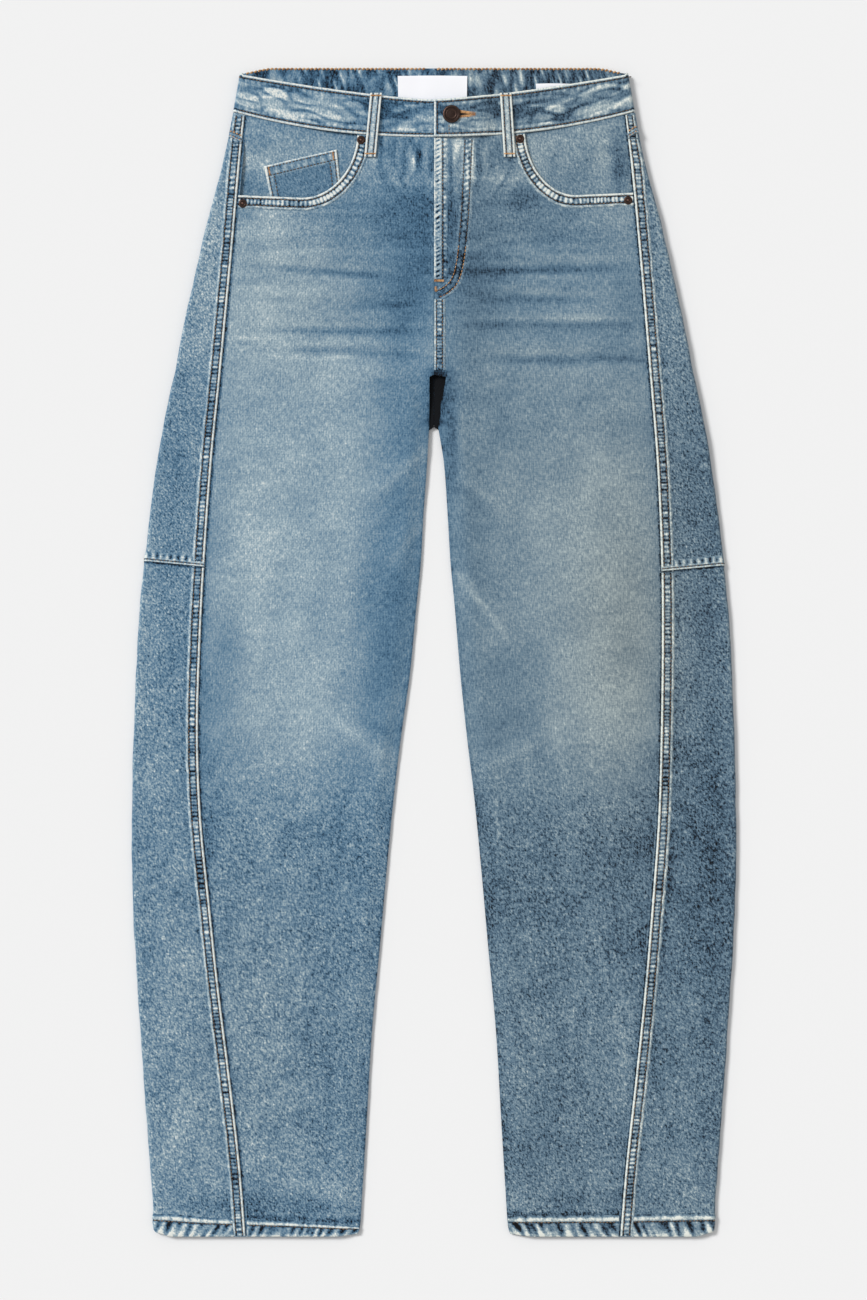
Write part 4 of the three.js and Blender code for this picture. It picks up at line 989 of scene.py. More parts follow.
# %% Bands that lie on the fronts
def pocket_band(side):
    corner = side["pocket_x"]
    turn = POCKET_TURN * (1 - np.cos(np.linspace(0.02, math.pi / 2, 110)))
    share = np.concatenate([turn, np.linspace(POCKET_TURN, 1, 80)[1:]])
    y = pocket_mouth(side, share)
    across = lerp(corner / seam_x(side, band_low(corner)), 1, share)
    x = lerp(inner_x(side, y), seam_x(side, y) - SEAM_GAP, across)
    run = run_along(np.hypot(np.diff(x), np.diff(y)))
    even = np.arange(0, run[-1], 0.9)
    x, y = np.interp(even, run, x), np.interp(even, run, y)
    return felled_band(
        on_top(side), x[::-1], y[::-1], 90 + side["sign"], width=1.04, wear_and_shade=0.24, ladder_by=0.42
    )


# x, y along the fly's outer row, and across it the profile of both rows
FLY_LINE = [
    (27.9, 462), (24.6, 394), (23.4, 380), (21.8, 362), (18.8, 344), (14.5, 334), (8, 328), (1.2, 325),
]
FLY_ROWS = (0, 6.4)
FLY_T = np.array([-2.6, -1.6, -0.8, 0, 0.7, 1.6, 2.4, 3.2, 4.0, 4.8, 5.7, 6.4, 7.2, 8.2, 9.4])
FLY_HEIGHT = np.array([
    0.02, 0.25, 0.35, 0.12, 0.3, 0.5, 0.55, 0.56, 0.55, 0.5, 0.3, 0.12, 0.35, 0.25, 0.02,
])
FLY_WEAR = np.array([
    0, 0.06, 0.08, -0.3, -0.16, 0, 0.06, 0.06, 0.06, 0, -0.16, -0.32, 0.14, 0.14, 0.02,
])
FLY_GOLD_FROM = 0.66  # the share of the way down at which the thread turns from brown to gold
FINE_STEP = 0.9


def smooth_line(rows, step):
    """Evenly spaced points along a smooth curve through a few points."""
    rows = np.array(rows, float)
    knots = run_along(np.linalg.norm(np.diff(rows, axis=0), axis=1))
    fine = np.arange(0, knots[-1], step)
    table = np.column_stack([-knots, rows])
    return read_smooth(table, 1, -fine), read_smooth(table, 2, -fine)


def fly_curve(surface):
    """The two rows of the fly, with cloth puffed between them and dark where the thread pulls it in."""
    a, b = smooth_line(FLY_LINE, FINE_STEP)
    t = FLY_T
    run = np.arange(len(a))[:, None] * FINE_STEP
    grid_a, grid_b = offset_line(a, b, t)
    slant = (run + 0.5 * t) * 2 * math.pi / 4.9 + 3 * ripples(run, 50, 95)
    ladder = 0.6 * np.sin(slant) + 0.8 * waves(run, 2 * t, 9, 98)
    between = smoothstep(t, 0, 1.6) * (1 - smoothstep(t, 4.8, 6.4))
    ladder = ladder * between * (1 - 0.7 * smoothstep(run, 45, 95))
    low = smoothstep(run, 60, 110) * smoothstep(t, 0, 1) * (1 - smoothstep(t, 5.4, 6.4))
    wear_and_shade = leg_wear_and_shade(LEFT, grid_a, grid_b) + FLY_WEAR + 0.44 * ladder - 0.12 * low
    wear_and_shade = wear_and_shade + 0.1 * waves(run, t, 14, 99)
    turn = int(len(a) * FLY_GOLD_FROM)
    for row in FLY_ROWS:
        line_a, line_b = offset_line(a, b, np.array([row]))
        stitch_row("brown", surface, line_a[:turn, 0], line_b[:turn, 0], 0.42)
        stitch_row("gold", surface, line_a[turn:, 0], line_b[turn:, 0], 0.42, thick=0.8)
    return ribbon(surface, grid_a, grid_b, np.maximum(FLY_HEIGHT + 0.12 * ladder, 0.02), wear_and_shade)


# From the folded edge at the centre front outwards, with a row of stitches at 7.9
CENTRE_ROW = 7.9
CENTRE_T = np.array([
    0.05, 0.3, 0.8, 1.4, 1.9, 2.5, 3.2, 3.9, 4.6, 5.4, 6.2, 6.9, 7.4, 7.9, 8.4, 9.0, 10, 11, 12.5,
])
CENTRE_HEIGHT = np.array([
    0.2, 0.7, 0.95, 0.9, 0.65, 0.5, 0.46, 0.5, 0.62, 0.74, 0.76, 0.66, 0.42, 0.26, 0.4, 0.46, 0.36, 0.2,
    0.02,
])
CENTRE_WEAR = np.array([
    0.7, 0.9, 0.96, 0.9, 0.8, 0.72, 0.7, 0.72, 0.74, 0.76, 0.74, 0.6, 0.18, 0.04, 0.2, 0.54, 0.6, 0.52,
    0.4,
])


def centre_edge(surface, low, high, seed):
    """The folded edge at the centre front, a roped hollow, a pale ridge and the row beside it."""
    b, t = np.arange(low, high, FINE_STEP)[:, None], CENTRE_T
    slant = (b - 0.45 * t) * 2 * math.pi / 4.1
    slant = slant + 3 * ripples(b, 36, seed) + 1.1 * ripples(b, 9, seed + 4)
    strength = np.clip(0.75 + 0.7 * ripples(b, 8, seed + 2), 0.1, 1.3)
    rope = -np.clip(1.5 * np.sin(slant), -0.25, 1) * np.exp(-(((t - 3.5) / 1.8) ** 2)) * strength
    scallop = np.sin(b * 2 * math.pi / 4.3 + 3 * ripples(b, 30, seed + 3))
    scallop = (scallop + waves(b, 0.5 * t, 12, seed + 5)) * np.exp(-(((t - 9.6) / 1.5) ** 2))
    paler = 0.22 * smoothstep(b, 395, 455) - 0.16 * (1 - smoothstep(b, 335, 410))
    worn = CENTRE_WEAR + 0.85 * rope + 0.26 * scallop + paler * smoothstep(t, 1.4, 2.5)
    worn = worn + 0.07 * waves(b, t, 12, seed + 1)
    stitch_row("brown", surface, 0 * b[:, 0] + CENTRE_ROW, b[:, 0], 0.5, share=0.72, thick=1.35)
    height = np.maximum(CENTRE_HEIGHT + 0.12 * (rope + scallop), 0.02)
    return ribbon(surface, np.broadcast_to(t, worn.shape), np.broadcast_to(b, worn.shape), height, worn)


def rise_seam(surface):
    b = np.arange(254, 318, 0.9)
    return felled_band(surface, 0.2 + 0 * b[::-1], b[::-1], 97, width=0.9, rub=0.65)


for side in BOTH:
    parts = [front_panel(side), front_hem(side), pocket_band(side)]
    if side is LEFT:
        parts += [fly_curve(on_top(LEFT)), centre_edge(on_top(LEFT), 336, 463, 96), rise_seam(on_top(LEFT))]
        tack("gold", on_top(LEFT), 4.6, 334.4, 2.6, 0, 8, lift=1.0)
        tack("gold", on_top(LEFT), 1.6, 326.8, 2.4, 90, 4, lift=1.0)
    piece = make_piece(f"front_{side['name']}_denim", parts, stone_washed)
    dress(piece, f"front_{side['name']}")

# %% [markdown]
# ## Backs that wrap round the side
# Each back is cut wide and comes round the outer edge of the leg to the front seam, with a seam across the
# knee and a yoke under the waistband. There is no seam on the outer edge, which gives the barrel its curve.

# %% Stations from the front seam, over, round the fold and under
def wrap_stations():
    over = np.linspace(0, 1, 22)
    fold = 1 + np.linspace(0, 1, 9)[1:]
    under = 2 + np.linspace(0, 1, 76)[1:]
    return np.concatenate([over, fold, under])


def wrap_distance(side, station, y):
    edge, turn, radius = wrap_lengths(side, y)
    lengths = (turn - edge, math.pi * radius, turn - back_inner_x(side, y))
    return sum(length * np.clip(station - k, 0, 1) for k, length in enumerate(lengths))


def knee_line(side, station):
    return side["knee"] - KNEE_FALL * (1 - np.clip(station, 0, 1))


def yoke_line(side, station):
    over = side["yoke"] - YOKE_FALL * (1 - np.clip(station, 0, 1))
    return np.where(station > 2, lerp(side["yoke"], YOKE_CENTRE, np.clip(station - 2, 0, 1)), over)


def waist_line(station):
    front = band_low(lerp(178, 171, 1 - np.clip(station, 0, 1)))
    under = band_back_low((1 - np.clip(station - 2, 0, 1)) * BAND_SPAN)
    return np.where(station > 2, under, front) - SEAM_GAP


def hem_station(side, station):
    edge, turn, _ = wrap_lengths(side, HEM_Y + 3)
    out = lerp(edge, fold_x(HEM_Y), np.clip(station, 0, 1))
    return hem_y(np.where(station > 2, lerp(turn, inner_x(side, HEM_Y), np.clip(station - 2, 0, 1)), out))


def wrap_wear_and_shade(side, points, normal, y):
    """Front tones on what faces up, and back tones on what faces down, one into the other at the fold."""
    x = points[..., 0] * side["sign"]
    up = smoothstep(normal[..., 2], -0.6, 0.6)
    return lerp(under_wear(side, x, y), leg_wear_and_shade(side, x, y), up)


# Below the front's crotch the inside of the back shows. It is painted nearly black as shade, with a pale
# patch on the left
PATCH_FROM, PATCH_EDGE = 195, ([205, 227, 247], [4, 5.4, 9.9])


def wrap_panel(side, low, high, rows):
    """A closed wall round the side, between two lines that say y at each station."""
    station = wrap_stations()[None, :]
    share = np.linspace(0, 1, rows)[:, None]
    y = lerp(low(station), high(station), share)
    w = wrap_distance(side, station, y)
    points, normal = wrap_surface(side, w, y)
    tone = wrap_wear_and_shade(side, points, normal, y)
    # Painted shade on the side piece, just past the outer edge of the felled band
    shade_past_band = np.exp(-(((w - 13) / 2.4) ** 2)) * 0.08
    x = points[..., 0] * side["sign"]
    # Painted shade: below the crotch the inner face is made nearly black
    inside = np.where(y > PATCH_FROM, -0.9, 0.4)
    if side is LEFT:
        patch = smoothstep(x - np.interp(y, *PATCH_EDGE), -1, 2)
        inside = inside + 1.25 * patch * (y > PATCH_FROM)
    uv = np.stack([w, y], axis=-1)
    grain = wash_grain(side, x, y)
    return wall(points, points - normal * WALL, tone - shade_past_band, grain, uv, inside)


print("stations from the front seam to the inner edge:", len(wrap_stations()))

# %% Felled bands, and the laps across the knee and at the yoke
def side_band(side, low, high, seed, wear_and_shade=0.0):
    """The felled band beside the front seam. It narrows where the strip beside it is narrow."""
    y = np.arange(low, high, 0.9)
    edge, turn, _ = wrap_lengths(side, y)
    width = np.minimum(1.0, (turn - edge + 1.5) / FELL_T[-1])
    return felled_band(on_wrap(side), 0 * y + 0.02, y[::-1], seed, width=width[::-1], wear_and_shade=wear_and_shade, drawn=True)


LAP_T = np.array([-2.8, -1.8, -0.9, -0.25, 0, 0.5, 1.1, 1.7, 2.1, 2.5, 2.9, 3.4, 4.6, 6.0, 7.6, 9.4])
LAP_HEIGHT = np.array([
    0.06, 0.2, 0.24, 0.2, 0.75, 1.0, 0.95, 0.7, 0.5, 0.66, 0.74, 0.7, 0.6, 0.45, 0.25, 0.04,
])
# Below the folded edge, where t is under 0, the tone is a painted shadow of that edge
LAP_WEAR_AND_SHADOW = np.array([
    0.5, 0.24, 0.06, 0.08, 0.6, 0.94, 0.86, 0.4, 0.16, 0.4, 0.72, 0.74, 0.56, 0.52, 0.5, 0.5,
])
PUCKER_PITCH = 6.4


def lap_band(side, y_at, w_to, seed, rows=(1.9,), colour="brown", rub=1.0):
    """The upper piece lapped over the lower one: a pale folded edge, its rows, puckers above it, and a
    painted shadow below it.
    """
    w = np.arange(0.4, w_to, 0.9)
    line = y_at(w)
    y = line[:, None] + LAP_T
    grid = np.broadcast_to(w[:, None], y.shape)
    edge, turn, radius = wrap_lengths(side, line)
    keep = (1 - smoothstep((w - (turn - edge)) / (math.pi * radius), 0.3, 0.95))[:, None]
    over_band = 1 - smoothstep(w, 10, 12)
    pucker = np.sin(w * 2 * math.pi / PUCKER_PITCH + 2 * ripples(w, 30, seed))[:, None]
    pucker = pucker + 0.4 * ripples(w, 9, seed + 1)[:, None]
    far = smoothstep(LAP_T, 2.6, 4.2) * (1 - smoothstep(LAP_T, 6.5, 9.4)) * (1 - over_band[:, None])
    climb = 0.85 * over_band[:, None] * (smoothstep(LAP_T, -0.6, 0) - smoothstep(LAP_T, 2.9, 4.6))
    height = (LAP_HEIGHT + 0.2 * pucker * far) * keep + climb + 0.02
    tone = lerp(0.4, LAP_WEAR_AND_SHADOW, rub) + 0.4 * pucker * far + 0.1 * ripples(w, 14, seed + 2)[:, None]
    for row in rows:
        lift = 0.55 * keep[:, 0] + 0.85 * over_band + 0.15
        stitch_row(colour, on_wrap(side), w, line + row, lift, share=0.72, thick=1.35)
    return ribbon(on_wrap(side), grid, y, height, tone, sink=0.4)


def cross_lap(side, line, fall, round_fold, seed, *style):
    """A lap along a line that falls towards the front seam and ends a share of the way round the fold."""
    edge, turn, radius = wrap_lengths(side, side[line])
    over = float(turn - edge)

    def y_at(w):
        return side[line] - fall * (1 - np.clip(w / over, 0, 1)) + 0.2

    return lap_band(side, y_at, over + float(radius) * round_fold, seed + side["sign"], *style)


def side_hem(side):
    """The hem of the wrapped part, from the front seam round the fold."""
    edge, turn, radius = wrap_lengths(side, HEM_Y + 6)
    w = np.arange(10.8, float(turn - edge) + float(radius) * 1.5, 1.0)
    x = np.minimum(edge + w, 252)
    low = hem_y(np.minimum(edge + w, fold_x(HEM_Y))) + 0.1
    return hem_band(side, on_wrap(side), x, w, low, hem_row(side, x), 84 + side["sign"])


def back_panel(side, panel, parts):
    """One of the back's three pieces, dressed over its solid."""
    node_name = f"{panel}_{side['name']}"
    return dress(make_piece(f"{node_name}_denim", parts, stone_washed), node_name)


for side in BOTH:
    name, seam_knee, seam_yoke = side["name"], side["knee"] - KNEE_FALL, side["yoke"] - YOKE_FALL
    lower = [
        wrap_panel(side, lambda k: hem_station(side, k), lambda k: knee_line(side, k) - SEAM_GAP, 205),
        side_band(side, HEM_Y + 1, seam_knee - 0.5, 100 + side["sign"]),
        side_hem(side),
    ]
    piece = back_panel(side, "back_lower", lower)
    upper = [
        wrap_panel(side, lambda k: knee_line(side, k), lambda k: yoke_line(side, k) - SEAM_GAP, 125),
        side_band(side, seam_knee, seam_yoke - 0.5, 104 + side["sign"]),
        cross_lap(side, "knee", KNEE_FALL, math.pi * 0.95, 110),
    ]
    piece = back_panel(side, "back_upper", upper)
    top = [
        wrap_panel(side, lambda k: yoke_line(side, k), waist_line, 24),
        side_band(side, seam_yoke, float(waist_line(np.array(0.0))) - 0.3, 108 + side["sign"], wear_and_shade=-0.03),
        cross_lap(side, "yoke", YOKE_FALL, 0.8, 116, (1.2, 5.4), "gold", 0.5),  # two gold rows
    ]
    piece = back_panel(side, "back_yoke", top)

# %% [markdown]
# ## Waistband
# A strip folded in two and turned in at both edges, with a row of stitches along each. The left end laps
# over the right one and carries the buttonhole. From above one sees its front, and behind that the inner
# face of its back, with the chain stitch along the top and the two labels.

# %% One half of the waistband
BAND_HEIGHT = 34.4
BAND_OFF = np.array([0, 0.3, 0.8, 1.4, 1.9, 2.3, 2.7, 3.1, 3.6, 4.6, 5.8])
BAND_V = np.concatenate([BAND_OFF, np.arange(7, 28, 1.15), BAND_HEIGHT - BAND_OFF[::-1]]) / BAND_HEIGHT
BAND_ROWS = (2.8, 31.6)  # how far up the two rows of stitches are
EDGE_T = [0, 0.3, 0.8, 1.4, 1.9, 2.3, 2.7, 3.1, 3.6, 4.6]
EDGE_HEIGHT = [-0.6, -0.05, 0.22, 0.24, 0.16, -0.1, -0.25, -0.18, -0.02, 0.04]
EDGE_WEAR = [0.8, 0.96, 1.0, 0.94, 0.64, 0.16, 0.02, 0.08, 0.34, 0.62]
BAND_STREAKS = random_streaks(
    47, 120, (-176, 176), (464, 521), (8, 26), (0.9, 1.9), lambda x: 0.07 * x, 22, 0.34,
)
# The four rows 2.5 wide at y 486 are painted shadows beside the belt loops, the rest are fades
BAND_FADES_AND_SHADE = [
    (-165, 496, 26, 12, -10, 0.06), (-130, 502, 40, 6, -14, -0.1), (-110, 478, 45, 7, -14, 0.12),
    (-80, 486, 12, 16, 0, 0.08), (-70, 492, 6, 18, 0, -0.14), (-30, 485, 24, 14, -10, -0.12),
    (-18, 478, 18, 5, 25, 0.16), (-45, 470, 14, 5, -20, 0.1), (26, 483, 26, 8, 0, -0.26),
    (-28, 490, 22, 12, -8, -0.26), (98, 492, 36, 12, 9, -0.16), (168, 500, 12, 10, 0, -0.16),
    (8, 493, 8, 8, 0, 0.1), (50, 470, 16, 7, 0, 0.1), (90, 488, 22, 12, 10, -0.1),
    (112, 494, 16, 8, 10, 0.08), (100, 474, 30, 5, 10, 0.12), (140, 500, 34, 6, 14, -0.1),
    (160, 492, 30, 6, 12, 0.12), (150, 508, 30, 5, 10, 0.1), (-40, 486, 10, 18, 0, -0.2),
    (42, 486, 12, 16, 0, -0.04), (77, 480, 12, 12, 0, -0.08), (-122, 498, 16, 8, 0, 0.1),
    (-46, 486, 2.5, 18, 0, -0.16), (-61, 486, 2.5, 16, 0, -0.2), (58, 486, 2.5, 16, 0, -0.14),
    (73, 486, 2.5, 17, 0, -0.2), (-140, 486, 30, 8, -12, 0.08), (30, 476, 20, 5, 0, 0.1),
    (-80, 478, 12, 7, 0, 0.12), (-38, 477, 16, 7, 0, 0.14),
]
BAND_STEP = (42, 58)
BAND_TONE, BAND_TONE_RANGE, BAND_INSIDE_TONE = 0.63, (0.19, 0.95), 0.17
BAND_COLUMN, BAND_BACK_COLUMNS, BAND_FOLD_COLUMNS = 0.95, 190, 10


def band_raise(side, x):
    """The left end lies on the right one, so it is one thickness higher as far as that reaches."""
    return (BAND_WALL + SEAM_GAP) * (1 - smoothstep(x, *BAND_STEP)) if side is LEFT else 0 * x


def band_front(side, x, v):
    """The front of the waistband at x, a share v of its height up."""
    y = lerp(band_low(x), band_top(x), v)
    z = BAND_FRONT_Z + BAND_WALL + band_raise(side, x)
    points = place(side, x, y, z)
    return points, straight(points)


def off_edge(v):
    """Millimetres from the nearer long edge of the band, and millimetres up it."""
    mm = v * BAND_HEIGHT
    return np.minimum(mm, BAND_HEIGHT - mm), mm


def band_relief(x, v, seed):
    """The turned edges, the puckers beside the rows, and the crumpling between them."""
    off, mm = off_edge(v)
    edge = np.interp(off, EDGE_T, EDGE_HEIGHT)
    wavy = np.sin(x * 2 * math.pi / 6.4 + 2.5 * ripples(x, 50, seed))
    pucker = 0.13 * wavy * np.exp(-np.abs(off - 4.6) / 3)
    crumple = 0.16 * waves(x, mm, 30, seed + 1) + 0.12 * waves(0.6 * x, 1.8 * mm, 17, seed + 2)
    return edge, pucker * smoothstep(off, 2, 4), crumple * smoothstep(off, 3.5, 8)


def crinkles(x, mm, seed):
    """Fine curved wrinkles along the band, as a dark crease and a pale ridge beside it."""
    field = waves(0.38 * x + 0.6 * mm, mm - 0.1 * x, 11, seed)
    strength = np.clip(0.6 + 0.6 * waves(x, mm, 34, seed + 1), 0.1, 1.2)
    crease, ridge = np.exp(-((field / 0.3) ** 2)), np.exp(-(((field - 0.6) / 0.3) ** 2))
    return strength * (0.6 * ridge - crease)


def band_front_part(side, start, x, v):
    """Outer points, inner points and tone of the front, worn pale in places and with painted shade, from
    the band's end to the fold at the side.
    """
    sx, (off, mm) = x * side["sign"], off_edge(v)
    face, up = band_front(side, x, v)
    edge, pucker, crumple = band_relief(sx, v, 120 + side["sign"])
    marks = spots(BAND_STREAKS, sx, face[..., 1], 2) + 0.44 * crinkles(sx, mm, 122)
    marks = marks * smoothstep(np.minimum(v, 1 - v), 0.06, 0.16)
    raised = edge + pucker + crumple + 0.5 * marks
    tone = BAND_TONE + spots(BAND_FADES_AND_SHADE, sx, face[..., 1], 2) + 0.5 * crumple + 1.2 * pucker + marks
    tone = np.clip(tone + 0.05 * waves(sx, mm, 14, 124), *BAND_TONE_RANGE)
    worn = np.interp(off, EDGE_T, EDGE_WEAR)
    if side is LEFT:
        raised = raised + np.interp(x - start, EDGE_T, EDGE_HEIGHT) * (v > 0.02) * (v < 0.98)
        worn = np.where(x - start < off, np.interp(x - start, EDGE_T, EDGE_WEAR), worn)
        off = np.minimum(off, x - start)
    tone = lerp(worn + 0.5 * pucker, tone, smoothstep(off, 3.2, 5))
    return face + up * raised[..., None], face - up * BAND_WALL, tone


def band_back_part(side, x, v):
    """The same for the back, and the wear of its inner face, which shows behind the front."""
    sx, (off, mm) = x * side["sign"], off_edge(v)
    y = lerp(band_back_low(x), band_back_top(x), v)
    edge, pucker, crumple = band_relief(sx, v, 130 + side["sign"])
    hollow = np.clip(-(edge + pucker + 0.4 * crumple), 0, 1) * smoothstep(x, 1, 3)
    drawn = 0.25 * waves(sx, 0.15 * mm, 6, 126) * smoothstep(BAND_HEIGHT - mm, 0, 3)
    rounded = 0.7 * np.exp(-((BAND_HEIGHT - mm) / 0.6) ** 2)
    inner_z = BAND_BACK_Z + BAND_WALL + np.clip(drawn, -0.25, 0.25) - rounded
    worn = np.interp(off, EDGE_T, EDGE_WEAR) - 0.05
    under = lerp(worn, 0.52 + 0.5 * pucker + 0.4 * crumple, smoothstep(off, 3.2, 5))
    vein = np.exp(-((waves(sx + 0.4 * mm, 0.1 * mm, 14, 127) / 0.3) ** 2))
    vein = vein * np.clip(0.5 + 0.9 * waves(sx, 0.5 * mm, 13, 128), 0, 1.2)
    inside = BAND_INSIDE_TONE + 0.6 * vein + 0.8 * np.clip(drawn, -0.07, 0.2)
    return place(side, x, y, BAND_BACK_Z + hollow), place(side, x, y, inner_z), under, inside


def band_half(side):
    """A closed wall from the band's end, along the front, round the fold and along the back."""
    start, v = 0.0 if side is LEFT else -BAND_LAP, BAND_V[:, None]
    side_y = lerp(band_back_low(BAND_SPAN), band_back_top(BAND_SPAN), v)
    radius = (BAND_FRONT_Z + BAND_WALL - BAND_BACK_Z) / 2
    turn = fold_x(side_y) - radius
    first = np.array([0, 0.3, 0.8, 1.5, 2.3, 3.1]) / (BAND_SPAN - start)
    steps = np.arange(0, 1, BAND_COLUMN / (BAND_SPAN - start))
    share = np.concatenate([first, steps[steps > first[-1] + 0.004], [1.0]])[None, :]
    x = start + share * (turn - start)
    back_x = lerp(turn, SEAM_GAP / 2, np.linspace(0, 1, BAND_BACK_COLUMNS)[None, :])
    front = band_front_part(side, start, x, v)
    back = band_back_part(side, back_x, v)
    angle = np.linspace(0, math.pi, BAND_FOLD_COLUMNS)[None, 1:-1]

    def fold(r):
        return place(side, turn + r * np.sin(angle), side_y, BAND_BACK_Z + radius + r * np.cos(angle))

    outer = np.concatenate([front[0], fold(radius), back[0]], axis=1)
    inner = np.concatenate([front[1], fold(radius - BAND_WALL), back[1]], axis=1)
    fold_tone = lerp(front[2][:, -1:], back[2][:, :1], angle / math.pi)
    wear_and_shade = np.concatenate([front[2], fold_tone, back[2]], axis=1)
    hidden = np.concatenate([0 * front[2] + 0.3, 0 * fold_tone + 0.3, back[3]], axis=1)
    round_run = turn + radius * angle
    run = np.concatenate([x, round_run, 2 * turn + radius * math.pi - back_x], axis=1)
    uv = np.stack(np.broadcast_arrays(run, v * BAND_HEIGHT), axis=-1)
    return wall(outer, inner, wear_and_shade, np.full(wear_and_shade.shape, 0.5), uv, hidden)


def band_rows(side):
    """The rows along both edges of the front and of the back, and down the lapped end."""
    def front(a, b):
        return band_front(side, a, b)

    def back(a, b):
        points = place(side, a, lerp(band_back_low(a), band_back_top(a), b), BAND_BACK_Z)
        return points, straight(points, -1.0)

    x = np.arange(BAND_ROWS[0] if side is LEFT else 0.5, 178, 1.0)
    for row in BAND_ROWS:
        stitch_row("brown", front, x, 0 * x + row / BAND_HEIGHT, 0.1, share=0.72, thick=1.3)
    if side is LEFT:
        v = np.linspace(*BAND_ROWS, 30) / BAND_HEIGHT
        stitch_row("brown", front, 0 * v + BAND_ROWS[0], v, 0.02)
        stitch_row("brown", front, 0 * v + 13.5, v * 0.42, 0.12)
    x = np.arange(1, 172, 1.0)
    for row in BAND_ROWS:
        stitch_row("brown", back, x, 0 * x + row / BAND_HEIGHT, 0.0, thick=0.5)


def chain_row(side):
    """Looped chain stitch over the top edge of the back, seen from inside."""
    x = np.arange(9.5 if side is RIGHT else 4, 168, 3.6)
    y = band_back_top(x) - 0.5
    points = place(side, x, y, BAND_BACK_Z + BAND_WALL + 0.05)
    up = np.broadcast_to((0.0, 0.25, 0.97), points.shape)
    along = np.broadcast_to((1.0, 0.55, 0.0), points.shape)
    beads("gold", points, along, up, 3.4, 2.1)


print("waistband at the centre and at the side:", float(band_low(0)), float(band_low(BAND_SPAN)))

# %% The buttonhole, cut through the lapped end and whipped with gold thread
BUTTON_AT = (15.8, 483.7)
EYE_RADIUS, SLIT_END = 3.3, 36
WHIP_OUT = 0.9  # from the cut's edge to the middle of the stitches round it


def whip_line():
    """Round the buttonhole: an eye under the button, and two sides that run to its tip."""
    angle = np.radians(np.linspace(43, 317, 30))
    radius, tip, half = EYE_RADIUS + WHIP_OUT, SLIT_END + WHIP_OUT, 0.4 + 0.5 * WHIP_OUT
    x, y = BUTTON_AT[0] + radius * np.cos(angle), BUTTON_AT[1] + radius * np.sin(angle)
    x = np.concatenate([x, [tip, tip], x[:1]])
    return x, np.concatenate([y, [BUTTON_AT[1] - half, BUTTON_AT[1] + half], y[:1]])


def cut_buttonhole(piece):
    """A cylinder drawn out to a taper is taken away from the band."""
    bpy.ops.object.select_all(action="DESELECT")
    bpy.ops.mesh.primitive_cylinder_add(
        vertices=24, radius=EYE_RADIUS * MM, depth=4 * MM,
        location=(BUTTON_AT[0] * MM, BUTTON_AT[1] * MM, 9 * MM),
    )
    cutter = bpy.context.object
    bpy.ops.object.mode_set(mode="EDIT")
    bpy.ops.mesh.select_mode(type="VERT")
    bpy.ops.mesh.select_all(action="DESELECT")
    bpy.ops.object.mode_set(mode="OBJECT")
    for vertex in cutter.data.vertices:
        vertex.select = vertex.co.x > 0.9 * EYE_RADIUS * MM
    bpy.ops.object.mode_set(mode="EDIT")
    bpy.ops.transform.translate(value=((SLIT_END - BUTTON_AT[0] - EYE_RADIUS) * MM, 0, 0))
    bpy.ops.transform.resize(value=(1, 0.45, 1))
    bpy.ops.object.mode_set(mode="OBJECT")
    cut = piece.modifiers.new("buttonhole", "BOOLEAN")
    cut.operation, cut.solver, cut.object = "DIFFERENCE", "EXACT", cutter
    bpy.context.view_layer.objects.active = piece
    bpy.ops.object.modifier_apply(modifier=cut.name)
    bpy.data.objects.remove(cutter)
    print("faces after the buttonhole:", len(piece.data.polygons))


def whip_buttonhole():
    """Stitches side by side round the cut, each lying across its edge."""
    x, y = whip_line()
    run = run_along(np.hypot(np.diff(x), np.diff(y)))
    at = np.arange(0, run[-1], 0.8)
    px, py = np.interp(at, run, x), np.interp(at, run, y)
    dx, dy = np.gradient(px), np.gradient(py)
    points = place(LEFT, px, py, BAND_FRONT_Z + 2 * BAND_WALL + SEAM_GAP + 0.12)
    across = np.stack([dy, -dx, 0 * dx], axis=1)
    beads("gold", points, across, straight(points), 3.0, 0.85)


for side in BOTH:
    name = f"waistband_{side['name']}"
    piece = make_piece(f"{name}_denim", [band_half(side)], stone_washed)
    if side is LEFT:
        cut_buttonhole(piece)
        whip_buttonhole()
    band_rows(side)
    chain_row(side)
    dress(piece, name)

# %% [markdown]
# ## Facings and the coin pocket
# Behind each mouth lies a facing of the same denim, rubbed less. The right one carries the coin pocket, set
# at a slant, with its turned top between two rows and its lower end hidden behind the front.

# %% Facings
COIN_WALL, COIN_GAP = 1.0, 0.35
FACING_FADES = [
    (-150, 440, 30, 9, -8, 0.16), (-110, 455, 40, 10, -10, 0.08), (-168, 418, 9, 14, 0, -0.14),
    (-85, 440, 12, 22, 0, -0.06), (130, 428, 32, 20, 0, -0.08), (152, 440, 9, 26, 0, 0.1),
    (167, 438, 7, 26, 0, -0.3), (120, 458, 34, 8, 8, 0.06), (-172, 446, 8, 10, 0, 0.1),
    (92, 440, 8, 20, 0, 0.08),
]


def facing_level(side, x, y):
    full = 1.5 + (COIN_WALL + COIN_GAP if side is RIGHT else 0)
    across = np.maximum(0, (seam_x(side, y) - x) / (seam_x(side, y) - side["pocket_x"]))
    down = np.maximum(0, (band_low(x) - y) / side["pocket_depth"])
    reach = (across ** 4 + down ** 4) ** 0.25
    return top_level(side, x, y) + np.minimum(drape(side, x, y), 0.1) - full * smoothstep(reach, 0.3, 0.85)


def facing_surface(side):
    def surface(x, y):
        points = place(side, x, y, facing_level(side, x, y))
        return points, straight(points)
    return surface


